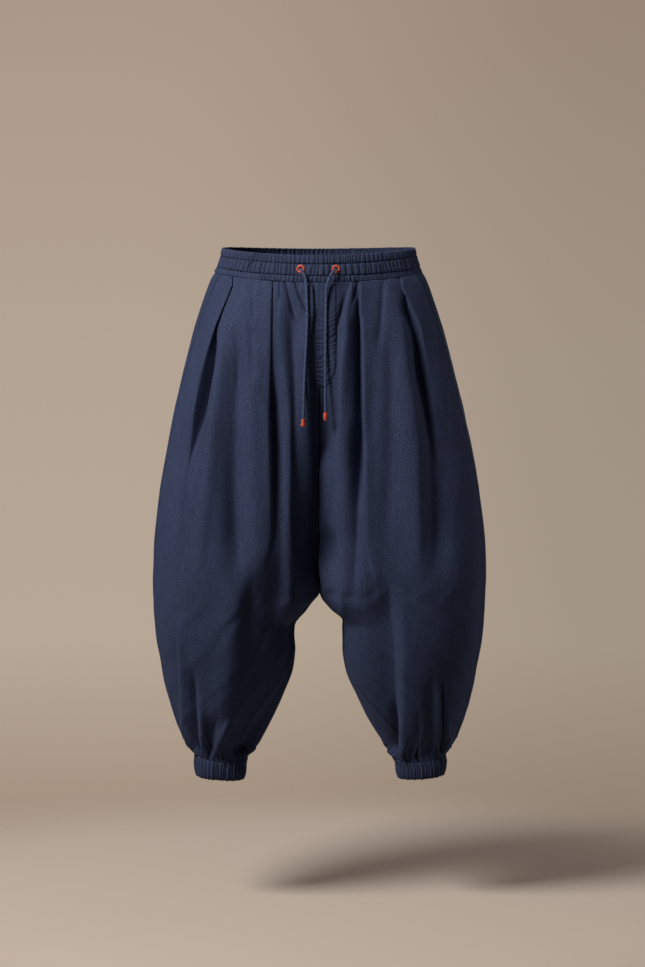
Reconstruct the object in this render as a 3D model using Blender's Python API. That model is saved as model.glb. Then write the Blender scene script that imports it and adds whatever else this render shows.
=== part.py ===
"""Baggy drop-crotch trousers: a gathered drawstring waistband, two front and two back panels with
knife pleats, a mock fly, ribbed cuffs, eyelets and the two free ends of the drawcord.

The garment faces -Y and hangs filled out and empty. Left and right are the wearer's, so the left
leg is at +X. The origin is the centre of the waist, at the height of the cord channel. Sizes are
in millimetres until a mesh is made. A drop is a distance down from the origin.
"""
import math

import bmesh
import bpy
import numpy as np
from mathutils import Matrix, Vector
from mathutils.bvhtree import BVHTree

MM = 0.001

# Driving sizes
SEAM_GAP = 0.3
CLOTH = 1.2
BAND_CLOTH = 3.0
CROTCH_DROP = 570.0
CUFF_DROP = 856.6
CUFF_X = 171.3
CUFF_TILT = 0.072
CUFF_HEIGHT = 33.0
WAIST_SEAM_DROP = 17.7
WAIST_SEAM_DIP = 9.5
WAIST_HALF_DEPTH = 121.0
CREASE_STEP = 2.8
TUCK = 8.0
GATHERS = {"waistband": 104, "cuff": 28}
HEM_GATHER = 3.6
HEM_GATHER_COLUMNS = 3
HEM_TROUGH = -0.35

# Drops between which one form turns smoothly into another
WAIST_DIP_FADES = (200.0, WAIST_SEAM_DROP)
CROTCH_CLOSES = (470.0, CROTCH_DROP)
SEAM_TURNS = (500.0, CROTCH_DROP)
COLUMNS_SPREAD = (440.0, 640.0)
CUFF_TILTS = (770.0, CUFF_DROP)
HEM_GATHERS = (775.0, CUFF_DROP)

# The centre valley's form: how steep its sides are and how narrow it is
VALLEY_POWER = 2.5
VALLEY_NARROWNESS = 4.2
ARC_POINTS = 60
TANGENT_STEP = 1.5
CLOTH_ROUGHNESS = 0.85

# One half's horizontal section at each drop, as distances from the garment's middle. The panel
# stands furthest forward and back at lobe_x, comes in to the centre seams above the crotch, and
# to inner_x between the legs below it.
SECTION_COLUMNS = (
    "drop", "side_x", "lobe_x", "front_y", "back_y", "centre_front_y", "centre_back_y",
    "inner_x", "outer_power", "inner_power",
)
SECTIONS = (
    (17.7, 179.5, 0.0, 121.0, 121.0, 121.0, 121.0, 0.0, 2.00, 3.0),
    (30.0, 186.0, 24.0, 123.0, 123.0, 122.5, 122.5, 0.0, 2.02, 3.0),
    (65.0, 199.5, 52.0, 128.0, 128.0, 125.0, 125.0, 0.0, 2.05, 3.0),
    (134.0, 220.5, 82.0, 135.0, 135.0, 123.0, 126.0, 0.0, 2.12, 3.0),
    (203.0, 238.0, 104.0, 141.0, 142.0, 117.0, 123.0, 0.0, 2.18, 3.0),
    (290.0, 256.5, 124.0, 147.0, 149.0, 99.0, 110.0, 0.0, 2.22, 3.0),
    (394.0, 275.5, 140.0, 150.0, 154.0, 74.0, 88.0, 0.0, 2.25, 3.0),
    (498.0, 286.5, 153.0, 148.0, 153.0, 45.0, 55.0, 0.0, 2.28, 3.0),
    (550.0, 287.5, 157.0, 143.0, 148.0, 26.0, 31.0, 0.0, 2.30, 3.0),
    (570.0, 287.0, 158.0, 140.0, 145.0, 0.2, 0.2, 0.0, 2.30, 3.0),
    (601.0, 285.0, 159.0, 135.0, 140.0, 0.2, 0.2, 27.0, 2.30, 3.0),
    (620.0, 283.0, 160.0, 131.5, 136.0, 0.2, 0.2, 40.5, 2.30, 2.9),
    (660.0, 278.0, 160.5, 123.0, 127.0, 0.2, 0.2, 43.0, 2.28, 2.6),
    (705.0, 271.0, 160.5, 110.0, 113.0, 0.2, 0.2, 49.0, 2.25, 2.3),
    (757.0, 258.0, 163.0, 91.0, 93.0, 0.2, 0.2, 69.0, 2.18, 2.15),
    (809.0, 240.0, 168.0, 69.0, 70.0, 0.2, 0.2, 96.0, 2.08, 2.05),
    (843.0, 223.5, 171.0, 52.0, 52.5, 0.2, 0.2, 118.5, 2.00, 2.0),
    (856.6, 216.8, 171.3, 44.5, 44.5, 0.2, 0.2, 125.8, 2.00, 2.0),
)

# How far the two long seams of a leg lie in front of its outermost and innermost lines.
SEAM_COLUMNS = ("drop", "side_forward", "inseam_forward")
SEAM_PLACES = (
    (17.7, 46.0, 0.0),
    (150.0, 46.0, 0.0),
    (500.0, 50.0, 0.0),
    (570.0, 49.0, 0.0),
    (660.0, 45.0, 6.0),
    (757.0, 38.0, 22.0),
    (809.0, 30.0, 26.0),
    (856.6, 20.0, 8.0),
)

# Knife pleats: the distance from the middle of the fold's edge at five drops, where it stops
# being folded flat, where it has opened to a soft valley, where that has faded, the valley's
# depth and the height of the lip beside it.
PLEAT_DROPS = (30.0, 110.0, 200.0, 325.0, 411.0)
PLEAT_COLUMNS = (
    "panel", "x_30", "x_110", "x_200", "x_325", "x_411",
    "flat_to", "open_at", "faded_at", "valley", "lip",
)
PLEATS = (
    ("front_right", 80.0, 82.5, 83.0, 78.5, 75.5, 140.0, 330.0, 610.0, 17.0, 7.0),
    ("front_right", 149.0, 176.5, 203.0, 225.0, 237.0, 42.0, 150.0, 440.0, 15.0, 5.0),
    ("front_left", 69.0, 70.0, 71.5, 72.5, 74.5, 120.0, 310.0, 620.0, 16.0, 7.0),
    ("front_left", 135.5, 163.0, 186.5, 202.0, 209.0, 32.0, 115.0, 520.0, 19.0, 5.0),
    ("back_right", 76.0, 80.0, 84.0, 88.0, 90.0, 120.0, 280.0, 570.0, 14.0, 6.0),
    ("back_right", 146.0, 166.0, 186.0, 203.0, 212.0, 50.0, 160.0, 470.0, 16.0, 5.0),
    ("back_left", 74.0, 77.0, 80.0, 85.0, 88.0, 110.0, 300.0, 590.0, 15.0, 6.0),
    ("back_left", 142.0, 164.0, 184.0, 199.0, 206.0, 45.0, 140.0, 500.0, 17.0, 5.0),
)

OPENING_START = 0.3

# A pleat's columns as (distance outwards from the fold's edge, height), folded flat and opened.
# Heights folded flat are in steps of CREASE_STEP, opened ones in valley depths or lip heights.
FLAT_PLEAT = (
    (-9.0, -0.6), (TUCK, -1.0), (TUCK + 1.3, -0.5), (TUCK, 0.0), (-1.3, 0.5), (2.5, 1.0), (20.0, 0.1),
)
OPEN_PLEAT = (
    (-32.0, -0.2), (-17.0, -0.7), (-6.0, -1.0), (-1.5, -0.4), (2.5, 0.6), (8.0, 1.0), (27.0, 0.2),
)

# Large soft folds: the panel, the distance from the middle at the fold's two ends, the drops
# there, half the width, and the height of a ridge or the depth of a trough.
FOLD_GROWN = 0.3
FOLD_FADES = 0.6
FOLD_COLUMNS = ("panel", "x_start", "x_end", "start", "end", "half_width", "height")
SOFT_FOLDS = (
    ("front_right", 23.0, 25.0, 10.0, 330.0, 9.0, 4.5),
    ("front_right", 15.0, 14.0, 120.0, 560.0, 8.0, -5.0),
    ("front_right", 52.0, 36.0, 150.0, 560.0, 13.0, -7.0),
    ("front_right", 160.0, 158.0, 180.0, 500.0, 17.0, -7.0),
    ("front_right", 184.0, 200.0, 200.0, 560.0, 13.0, 5.0),
    ("front_right", 128.0, 168.0, 540.0, 830.0, 20.0, -8.0),
    ("front_right", 92.0, 120.0, 560.0, 830.0, 14.0, 4.0),
    ("front_left", 39.0, 38.0, 120.0, 570.0, 12.0, 6.0),
    ("front_left", 57.0, 56.0, 200.0, 560.0, 9.0, -5.0),
    ("front_left", 112.0, 118.0, 220.0, 540.0, 20.0, 5.0),
    ("front_left", 232.0, 240.0, 240.0, 580.0, 12.0, 5.0),
    ("front_left", 126.0, 156.0, 560.0, 830.0, 20.0, -8.0),
    ("front_left", 160.0, 196.0, 600.0, 830.0, 14.0, 4.0),
    ("back_right", 40.0, 36.0, 90.0, 540.0, 14.0, 5.0),
    ("back_right", 135.0, 150.0, 160.0, 520.0, 18.0, -7.0),
    ("back_right", 140.0, 168.0, 570.0, 830.0, 20.0, -8.0),
    ("back_left", 34.0, 38.0, 100.0, 540.0, 13.0, 5.0),
    ("back_left", 128.0, 142.0, 180.0, 540.0, 18.0, -6.0),
    ("back_left", 150.0, 160.0, 570.0, 830.0, 20.0, -8.0),
)

PANEL_DROPS = (
    17.7, 38.0, 68.0, 105.0, 145.0, 190.0, 240.0, 295.0, 350.0, 405.0, 455.0, 500.0, 534.0,
    556.0, 570.0, 595.0, 625.0, 670.0, 720.0, 768.0, 808.0, 836.0, 856.6,
)
INNER_COLUMNS = 5
MIDDLE_COLUMNS = 2
OUTER_COLUMNS = 2

# The waistband's outer surface, from the rim down: the height at the sides and at the front and
# back, the half sizes there and how far its gathers stand out.
BAND_COLUMNS = ("side_z", "front_z", "half_width", "half_depth", "gather")
BAND_ROWS = (
    (24.0, 17.5, 164.5, 113.5, 0.5),
    (17.5, 11.0, 167.0, 116.0, 1.2),
    (11.0, 4.2, 166.5, 115.6, 0.4),
    (6.5, -1.0, 171.0, 120.0, 1.2),
    (-3.5, -10.5, 171.5, 120.4, 1.2),
    (-8.0, -15.5, 170.0, 118.4, 0.4),
    (-12.8, -21.3, 176.0, 121.2, 0.7),
    (-17.4, -26.9, 179.5, 121.2, 0.2),
)
UNEVEN_PLACE = 0.16
UNEVEN_HEIGHT = 0.25
EYELET_PLACES = {"left": 27.7, "right": -32.0}
EYELET_HEIGHT = -5.6
EYELET_QUIET = 12.0
EYELET_HOLE_RADIUS = 4.3
# An eyelet's turned outline as (radius, distance out of the waistband's outer surface).
EYELET_OUTLINE = (
    (3.4, 0.7), (4.1, 1.5), (5.4, 1.8), (6.6, 1.4), (7.1, 0.8), (6.9, 0.3),
    (4.0, 0.3), (4.0, -5.0), (3.4, -5.0),
)
EYELET_SIDES = 16

# The cuff's outer surface, from the leg seam down: share of the height, half sizes, gathers.
CUFF_COLUMNS = ("share", "half_width", "half_depth", "gather")
CUFF_ROWS = (
    (0.0, 45.6, 44.4, 0.4),
    (0.22, 47.0, 46.0, 1.1),
    (0.7, 45.4, 44.4, 1.1),
    (1.0, 41.5, 40.6, 0.6),
)

FLY_LEFT_X = 28.5
FLY_RIGHT_X = -8.0
FLY_TOP = 30.0
FLY_BOTTOM = 207.0
FLY_CURVE = 46.0
FLY_END = 9.0
FLY_CLOTH = 1.2
FLY_GAP = 0.7
IN_FRONT = 300.0
FLY_ROWS = 16
FLY_COLUMNS = 8

CORD_RADIUS = 2.4
CORD_STEP = 9.6
# Route points of the two free cord ends, from inside the eyelet to the tip, as (x, y, z).
CORD_ROUTES = {
    "right": (
        (-32.0, -119.4, -5.6), (-31.0, -124.6, -7.2), (-27.6, -128.6, -12.5),
        (-23.0, -130.8, -25.0), (-21.0, -135.0, -64.0), (-21.2, -139.2, -107.0),
        (-25.6, -142.4, -193.0), (-27.6, -144.2, -258.0),
    ),
    "left": (
        (27.7, -119.9, -5.6), (26.4, -125.0, -6.6), (22.6, -128.8, -10.5),
        (16.4, -130.8, -21.0), (11.8, -131.8, -42.0), (10.6, -132.4, -107.0), (10.0, -132.8, -193.0),
        (10.0, -132.9, -248.0),
    ),
}
# A whipped tip's turned outline as (radius, distance down from its top).
TIP_OUTLINES = {
    "right": ((2.9, 0.0), (3.3, 1.2), (3.4, 4.6), (3.0, 6.2), (3.7, 8.0), (4.2, 11.0), (3.4, 12.8)),
    "left": ((2.6, 0.0), (3.4, 1.6), (3.8, 5.0), (3.6, 8.6), (2.9, 11.6), (2.4, 13.4)),
}
TIP_SIDES = 12

NAVY = (0.036, 0.043, 0.090)
NAVY_CORD = (0.050, 0.066, 0.140)
CORAL = (0.790, 0.128, 0.061)


def between(low, high, value):
    """A smooth step from 0 at low to 1 at high."""
    share = np.clip((value - low) / (high - low), 0.0, 1.0)
    return share * share * (3.0 - 2.0 * share)


def through(places, values, place):
    """The value at a place on a smooth curve through a table's rows, which never overshoots."""
    places = np.asarray(places, float)
    values = np.asarray(values, float)
    steps = np.diff(values) / np.diff(places)
    slopes = np.concatenate([steps[:1], np.zeros(len(steps) - 1), steps[-1:]])
    for i in range(1, len(steps)):
        if steps[i - 1] * steps[i] > 0.0:
            slopes[i] = 2.0 * steps[i - 1] * steps[i] / (steps[i - 1] + steps[i])
    place = np.clip(place, places[0], places[-1])
    i = np.clip(np.searchsorted(places, place) - 1, 0, len(steps) - 1)
    wide = places[i + 1] - places[i]
    t = (place - places[i]) / wide
    start = values[i] * (1.0 + 2.0 * t) * (1.0 - t) ** 2 + slopes[i] * wide * t * (1.0 - t) ** 2
    return start + values[i + 1] * t * t * (3.0 - 2.0 * t) + slopes[i + 1] * wide * t * t * (t - 1.0)


def named(columns, row):
    """A table's row with its columns' names."""
    return dict(zip(columns, row))


def at_drop(table, columns, drop):
    """Every column's value at a drop."""
    places = [row[0] for row in table]
    return {
        name: float(through(places, [row[k] for row in table], drop))
        for k, name in enumerate(columns)
    }


def lengths_along(points):
    """The distance along a line of points, at each of them."""
    steps = np.linalg.norm(np.diff(points, axis=0), axis=1)
    return np.concatenate([[0.0], np.cumsum(steps)])


def unit(vectors):
    """Vectors of length one."""
    return vectors / np.linalg.norm(vectors, axis=-1, keepdims=True)


def quarter(section, depth, centre_depth, drop):
    """Half a section's front or back, from its inner edge to the side, with y as a depth."""
    angle = np.linspace(0.0, math.pi / 2.0, ARC_POINTS)
    inner = section["inner_x"] + SEAM_GAP / 2.0 + between(*SEAM_TURNS, drop) * CLOTH / 2.0
    across = np.cos(angle)
    rise = across**VALLEY_POWER
    hollow = rise / (rise + (VALLEY_NARROWNESS * (1.0 - across)) ** VALLEY_POWER)
    power = section["inner_power"]
    rounded = 1.0 - (1.0 - across**power) ** (1.0 / power)
    fall = hollow + (rounded - hollow) * between(*CROTCH_CLOSES, drop)
    inward = np.stack(
        [section["lobe_x"] + (inner - section["lobe_x"]) * across,
         depth + (centre_depth - depth) * fall], axis=1)
    power = 2.0 / section["outer_power"]
    outward = np.stack(
        [section["lobe_x"] + (section["side_x"] - section["lobe_x"]) * np.sin(angle) ** power,
         depth * np.cos(angle) ** power], axis=1)
    outward[-1, 1] = 0.0
    if section["lobe_x"] <= inner:
        return outward
    return np.concatenate([inward[:-1], outward])


def panel_curve(face, drop):
    """A panel's section from its inner seam to its side seam, on the side where x is positive."""
    section = at_drop(SECTIONS, SECTION_COLUMNS, drop)
    seams = at_drop(SEAM_PLACES, SEAM_COLUMNS, drop)
    front = quarter(section, section["front_y"], section["centre_front_y"], drop)
    front[:, 1] *= -1.0
    along = lengths_along(front)
    start = seams["inseam_forward"]
    end = along[-1] - seams["side_forward"]

    def cut(low, high):
        places = np.concatenate([[low], along[(along > low) & (along < high)], [high]])
        return np.stack([np.interp(places, along, front[:, k]) for k in (0, 1)], axis=1)

    if face == "front":
        return cut(start, end)
    back = quarter(section, section["back_y"], section["centre_back_y"], drop)
    pieces = [back[:-1], cut(end, along[-1])[::-1]]
    if start > 0.0:
        pieces.insert(0, cut(0.0, start)[::-1][:-1])
    return np.concatenate(pieces)


def fold_height(panel, x, drop):
    """How far the large soft folds move a panel's cloth out, at distances x from the middle."""
    total = np.zeros_like(x)
    for row in SOFT_FOLDS:
        fold = named(FOLD_COLUMNS, row)
        if fold["panel"] != panel:
            continue
        long = fold["end"] - fold["start"]
        share = (drop - fold["start"]) / long
        fade = between(0.0, FOLD_GROWN, share) * between(1.0, FOLD_FADES, share)
        centre = fold["x_start"] + (fold["x_end"] - fold["x_start"]) * np.clip(share, 0.0, 1.0)
        total += fold["height"] * fade * np.exp(-(((x - centre) / fold["half_width"]) ** 2))
    return total


def pleat_points(pleat, drop, edge):
    """A pleat's columns as places along the section and heights."""
    flat = np.array(FLAT_PLEAT)
    opened = np.array(OPEN_PLEAT)
    closed = 1.0 - between(pleat["flat_to"], pleat["open_at"], drop)
    left = 1.0 - between(pleat["open_at"], pleat["faded_at"], drop)
    grown = OPENING_START + (1.0 - OPENING_START) * between(WAIST_SEAM_DROP, pleat["open_at"], drop)
    depth = np.where(opened[:, 1] < 0.0, pleat["valley"], pleat["lip"]) * left * grown
    places = closed * flat[:, 0] + (1.0 - closed) * opened[:, 0]
    heights = closed * flat[:, 1] * CREASE_STEP + (1.0 - closed) * opened[:, 1] * depth
    return edge + places, heights


def panel_columns(panel, drop, curve, along):
    """Places along a panel's section and heights off it, one for each column."""
    total = along[-1]
    low = SEAM_GAP / 2.0
    high = total - SEAM_GAP / 2.0
    count = INNER_COLUMNS + MIDDLE_COLUMNS + OUTER_COLUMNS + 2 * len(FLAT_PLEAT)
    even = np.linspace(low, high, count)
    if drop >= COLUMNS_SPREAD[1]:
        places, heights = even, np.zeros(count)
    else:
        rows = [named(PLEAT_COLUMNS, row) for row in PLEATS if row[0] == panel]
        parts = []
        for pleat in rows:
            x = through(PLEAT_DROPS, [pleat[f"x_{int(d)}"] for d in PLEAT_DROPS], drop)
            parts.append(pleat_points(pleat, drop, np.interp(x, curve[:, 0], along)))
        first, second = parts
        inner = np.linspace(low, first[0][0], INNER_COLUMNS + 1)[:-1]
        middle = np.linspace(first[0][-1], second[0][0], MIDDLE_COLUMNS + 2)[1:-1]
        outer = np.linspace(second[0][-1], high, OUTER_COLUMNS + 1)[1:]
        places = np.concatenate([inner, first[0], middle, second[0], outer])
        zeros = [np.zeros(n) for n in (INNER_COLUMNS, MIDDLE_COLUMNS, OUTER_COLUMNS)]
        heights = np.concatenate([zeros[0], first[1], zeros[1], second[1], zeros[2]])
        places = places + (even - places) * between(*COLUMNS_SPREAD, drop)
    column = np.arange(count)
    ridge = np.where(column % HEM_GATHER_COLUMNS == 0, 1.0, HEM_TROUGH)
    ridge[[0, 1, -2, -1]] = 0.0
    return places, heights + HEM_GATHER * between(*HEM_GATHERS, drop) * ridge


def sag(x, y, drop):
    """How much lower than its drop a point lies, along the dipped waist seam and tilted cuffs."""
    round_waist = np.clip(np.abs(y) / WAIST_HALF_DEPTH, 0.0, 1.0) ** 2
    at_waist = WAIST_SEAM_DIP * round_waist * between(*WAIST_DIP_FADES, drop)
    return at_waist + CUFF_TILT * (CUFF_X - x) * between(*CUFF_TILTS, drop)


def panel_row(panel, drop):
    """One row of a panel's middle surface, with its outward directions, where x is positive."""
    face = panel.split("_")[0]
    curve = panel_curve(face, drop)
    along = lengths_along(curve)
    places, heights = panel_columns(panel, drop, curve, along)
    x = np.interp(places, along, curve[:, 0])
    y = np.interp(places, along, curve[:, 1])
    after, before = (
        np.stack([np.interp(places + step, along, curve[:, k]) for k in (0, 1)], axis=1)
        for step in (TANGENT_STEP, -TANGENT_STEP)
    )
    run = after - before
    out = unit(np.stack([run[:, 1], -run[:, 0]], axis=1)) * (1.0 if face == "front" else -1.0)
    heights = heights + fold_height(panel, x, drop)
    x = x + out[:, 0] * heights
    y = y + out[:, 1] * heights
    return np.stack([x, y, -drop - sag(x, y, drop)], axis=1)


def make_object(name, vertices, faces, colour, roughness, metallic=0.0):
    """An object from points in millimetres, with its own material."""
    mesh = bpy.data.meshes.new(name)
    mesh.from_pydata([tuple(v) for v in np.asarray(vertices, float) * MM], [], faces)
    tidy = bmesh.new()
    tidy.from_mesh(mesh)
    bmesh.ops.recalc_face_normals(tidy, faces=tidy.faces)
    bmesh.ops.triangulate(tidy, faces=tidy.faces)
    tidy.to_mesh(mesh)
    tidy.free()
    mesh.shade_smooth()
    mesh.set_sharp_from_angle(angle=math.radians(50.0))
    made = bpy.data.objects.new(name, mesh)
    bpy.context.scene.collection.objects.link(made)
    give_material(made, colour, roughness, metallic)
    return made


def give_material(made, colour, roughness, metallic):
    """A Principled material of the object's own."""
    material = bpy.data.materials.new(made.name)
    material.use_nodes = True
    shader = material.node_tree.nodes["Principled BSDF"]
    shader.inputs["Base Color"].default_value = (*colour, 1.0)
    shader.inputs["Roughness"].default_value = roughness
    shader.inputs["Metallic"].default_value = metallic
    made.data.materials.append(material)


def directions(grid, axis):
    """The mean direction of the two steps at each point of a grid, along one of its axes."""
    steps = unit(np.diff(grid, axis=axis))
    ends = [np.take(steps, [k], axis=axis) for k in (0, -1)]
    return np.concatenate([ends[0], steps], axis=axis) + np.concatenate([steps, ends[1]], axis=axis)


def grid_normals(grid):
    """Directions square to a grid of points, level along its first and last rows."""
    down = directions(grid, 0)
    down[[0, -1]] = (0.0, 0.0, -1.0)
    return unit(np.cross(directions(grid, 1), down))


def shell_faces(rows, columns):
    """Faces of a closed wall between two grids of points, the outer one first."""
    def outer(r, c):
        return r * columns + c

    def inner(r, c):
        return rows * columns + r * columns + c

    faces = []
    for r in range(rows - 1):
        for c in range(columns - 1):
            faces.append((outer(r, c), outer(r + 1, c), outer(r + 1, c + 1), outer(r, c + 1)))
            faces.append((inner(r, c), inner(r, c + 1), inner(r + 1, c + 1), inner(r + 1, c)))
    for c in range(columns - 1):
        faces.append((outer(0, c), outer(0, c + 1), inner(0, c + 1), inner(0, c)))
        faces.append((outer(rows - 1, c + 1), outer(rows - 1, c),
                      inner(rows - 1, c), inner(rows - 1, c + 1)))
    for r in range(rows - 1):
        faces.append((outer(r + 1, 0), outer(r, 0), inner(r, 0), inner(r + 1, 0)))
        faces.append((outer(r, columns - 1), outer(r + 1, columns - 1),
                      inner(r + 1, columns - 1), inner(r, columns - 1)))
    return faces


def make_wall(name, grid, out, thickness, colour):
    """A cloth wall of one thickness about a grid of points."""
    rows, columns, _ = grid.shape
    outer = grid + out * thickness / 2.0
    inner = grid - out * thickness / 2.0
    vertices = np.concatenate([outer.reshape(-1, 3), inner.reshape(-1, 3)])
    return make_object(name, vertices, shell_faces(rows, columns), colour, CLOTH_ROUGHNESS)


def make_panel(panel):
    """A front or back panel, from the waist seam to the cuff."""
    face, side = panel.split("_")
    grid = np.stack([panel_row(panel, drop) for drop in PANEL_DROPS])
    grid[0, :, 2] -= SEAM_GAP
    grid[-1, :, 2] += SEAM_GAP
    out = grid_normals(grid) * (1.0 if face == "back" else -1.0)
    half = CLOTH / 2.0
    for sign in (1.0, -1.0):
        edge = grid[:, :, 0] + sign * out[:, :, 0] * half
        beyond = edge < SEAM_GAP / 2.0
        out[:, :, 0] = np.where(beyond, sign * (SEAM_GAP / 2.0 - grid[:, :, 0]) / half, out[:, :, 0])
    turn = np.array([1.0 if side == "left" else -1.0, 1.0, 1.0])
    return make_wall(panel, grid * turn, out * turn, CLOTH, NAVY)


def ring_faces(count, around):
    """Faces of a closed ring whose cross-section has count points, the same at each of its places."""
    faces = []
    for a in range(around):
        b = (a + 1) % around
        for k in range(count):
            n = (k + 1) % count
            faces.append((a * count + k, b * count + k, b * count + n, a * count + n))
    return faces


def gathers(count):
    """A ring's gathers as (angle, height), two for each: a trough and a ridge, all uneven."""
    angles = []
    for step in range(2 * count):
        shift = UNEVEN_PLACE * (math.sin(2.3 * step) + math.sin(0.9 * step))
        ridge = 1.0 - UNEVEN_HEIGHT + UNEVEN_HEIGHT * math.sin(1.7 * step)
        angles.append((math.pi * (step + shift) / count, ridge if step % 2 else 0.0))
    return angles


def band_depth_at(x, row):
    """How far forward the waistband stands at a distance from the middle."""
    return row["half_depth"] * math.sqrt(1.0 - (x / row["half_width"]) ** 2)


def band_point(row, side, front, out):
    """A point of the waistband at a row, at a share of its width and depth, moved out."""
    height = row["side_z"] + (row["front_z"] - row["side_z"]) * front**2
    return ((row["half_width"] + out) * side, (row["half_depth"] + out) * front, height)


def make_waistband():
    """The gathered waistband, with a hole for each eyelet."""
    rows = [named(BAND_COLUMNS, row) for row in BAND_ROWS]
    inside = (rows[-1], rows[-3], rows[0])
    vertices = []
    for angle, height in gathers(GATHERS["waistband"]):
        side = math.cos(angle)
        front = -math.sin(angle)
        nearest = min(abs(rows[3]["half_width"] * side - place) for place in EYELET_PLACES.values())
        if front < 0.0:
            height *= float(between(EYELET_QUIET, EYELET_QUIET + 5.0, nearest))
        vertices += [band_point(row, side, front, row["gather"] * height) for row in rows]
        vertices += [band_point(row, side, front, -BAND_CLOTH) for row in inside]
    faces = ring_faces(len(rows) + len(inside), 2 * GATHERS["waistband"])
    band = make_object("waistband", vertices, faces, NAVY, CLOTH_ROUGHNESS)
    for side in EYELET_PLACES:
        cut_eyelet_hole(band, side)


def eyelet_frame(side):
    """The place and turn of an eyelet: its local Z points out of the waistband."""
    row = named(BAND_COLUMNS, BAND_ROWS[4])
    x = EYELET_PLACES[side]
    y = -band_depth_at(x, row)
    out = Vector((x / row["half_width"] ** 2, y / row["half_depth"] ** 2, 0.0)).normalized()
    turn = out.to_track_quat("Z", "Y").to_matrix().to_4x4()
    return Matrix.Translation(Vector((x, y, EYELET_HEIGHT)) * MM) @ turn


def cut_eyelet_hole(band, side):
    """Cuts the hole that an eyelet's barrel goes through."""
    bpy.ops.mesh.primitive_cylinder_add(
        vertices=EYELET_SIDES, radius=EYELET_HOLE_RADIUS * MM, depth=10.0 * BAND_CLOTH * MM)
    cutter = bpy.context.active_object
    cutter.name = f"eyelet_hole_{side}"
    cutter.matrix_world = eyelet_frame(side)
    cutter.hide_render = True
    cutter.display_type = "WIRE"
    cut = band.modifiers.new(f"eyelet_hole_{side}", "BOOLEAN")
    cut.operation = "DIFFERENCE"
    cut.solver = "EXACT"
    cut.object = cutter


def turned(outline, sides):
    """Points of an outline of (radius, height) turned about Z."""
    vertices = []
    for k in range(sides):
        angle = 2.0 * math.pi * k / sides
        vertices += [(r * math.cos(angle), r * math.sin(angle), h) for r, h in outline]
    return vertices


def make_eyelet(side):
    """A coral eyelet: a rounded flange, a barrel through the waistband and a flat inner flange."""
    vertices = turned(EYELET_OUTLINE, EYELET_SIDES)
    faces = ring_faces(len(EYELET_OUTLINE), EYELET_SIDES)
    eyelet = make_object(f"eyelet_{side}", vertices, faces, CORAL, 0.35, 0.2)
    eyelet.matrix_world = eyelet_frame(side)


def make_cuff(side):
    """A ribbed elastic cuff, tilted so that its inner side hangs lower."""
    rows = [named(CUFF_COLUMNS, row) for row in CUFF_ROWS]
    turn = 1.0 if side == "left" else -1.0
    vertices = []
    for angle, height in gathers(GATHERS["cuff"]):
        ring = [(row, row["gather"] * height) for row in rows]
        ring += [(rows[-1], -BAND_CLOTH), (rows[0], -BAND_CLOTH)]
        for row, out in ring:
            away = (row["half_width"] + out) * math.cos(angle)
            z = -CUFF_DROP - row["share"] * CUFF_HEIGHT + CUFF_TILT * away
            vertices.append((turn * (CUFF_X + away), (row["half_depth"] + out) * math.sin(angle), z))
    faces = ring_faces(len(rows) + 2, 2 * GATHERS["cuff"])
    make_object(f"cuff_{side}", vertices, faces, NAVY, CLOTH_ROUGHNESS)


def make_fly(panels):
    """The mock fly, a strip that lies on the front panels, with a curved lower end."""
    trees = [BVHTree.FromObject(panel, bpy.context.evaluated_depsgraph_get()) for panel in panels]

    def on_cloth(x, z):
        start = Vector((x, -IN_FRONT, z)) * MM
        hits = [tree.ray_cast(start, Vector((0.0, 1.0, 0.0)))[0] for tree in trees]
        depths = [hit.y / MM for hit in hits if hit is not None]
        return (x, min(depths), z)

    rows = []
    for z in np.linspace(-FLY_TOP, -FLY_BOTTOM, FLY_ROWS):
        low = max(0.0, (-z - (FLY_BOTTOM - FLY_CURVE)) / FLY_CURVE)
        reach = FLY_END + (FLY_LEFT_X - FLY_RIGHT_X - FLY_END) * math.sqrt(1.0 - low**2)
        rows.append([on_cloth(x, z) for x in np.linspace(FLY_RIGHT_X, FLY_RIGHT_X + reach, FLY_COLUMNS)])
    grid = np.array(rows)
    out = -grid_normals(grid)
    make_wall("fly", grid + out * (FLY_GAP + FLY_CLOTH / 2.0), out, FLY_CLOTH, NAVY)


def smooth_route(points, step):
    """Points at equal steps along a smooth curve through the route's own points."""
    points = np.asarray(points, float)
    padded = np.concatenate([[2 * points[0] - points[1]], points, [2 * points[-1] - points[-2]]])
    fine = []
    for a, b, c, d in zip(padded, padded[1:], padded[2:], padded[3:]):
        for t in np.linspace(0.0, 1.0, ARC_POINTS, endpoint=False):
            fine.append(0.5 * (2 * b + (c - a) * t + (2 * a - 5 * b + 4 * c - d) * t**2
                               + (3 * b - a - 3 * c + d) * t**3))
    fine = np.array(fine + [points[-1]])
    along = lengths_along(fine)
    places = np.linspace(0.0, along[-1], max(2, round(along[-1] / step) + 1))
    return np.stack([np.interp(places, along, fine[:, k]) for k in range(3)], axis=1)


def make_drawcord(side):
    """A free end of the drawcord, out of its eyelet and down to its tip."""
    route = smooth_route(CORD_ROUTES[side], CORD_STEP)
    curve = bpy.data.curves.new(f"drawcord_{side}", "CURVE")
    curve.dimensions = "3D"
    curve.bevel_depth = CORD_RADIUS * MM
    curve.bevel_resolution = 2
    curve.use_fill_caps = True
    spline = curve.splines.new("POLY")
    spline.points.add(len(route) - 1)
    for point, place in zip(spline.points, route):
        point.co = (*(place * MM), 1.0)
    cord = bpy.data.objects.new(f"drawcord_{side}", curve)
    bpy.context.scene.collection.objects.link(cord)
    give_material(cord, NAVY_CORD, 0.8, 0.0)
    return route


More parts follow.
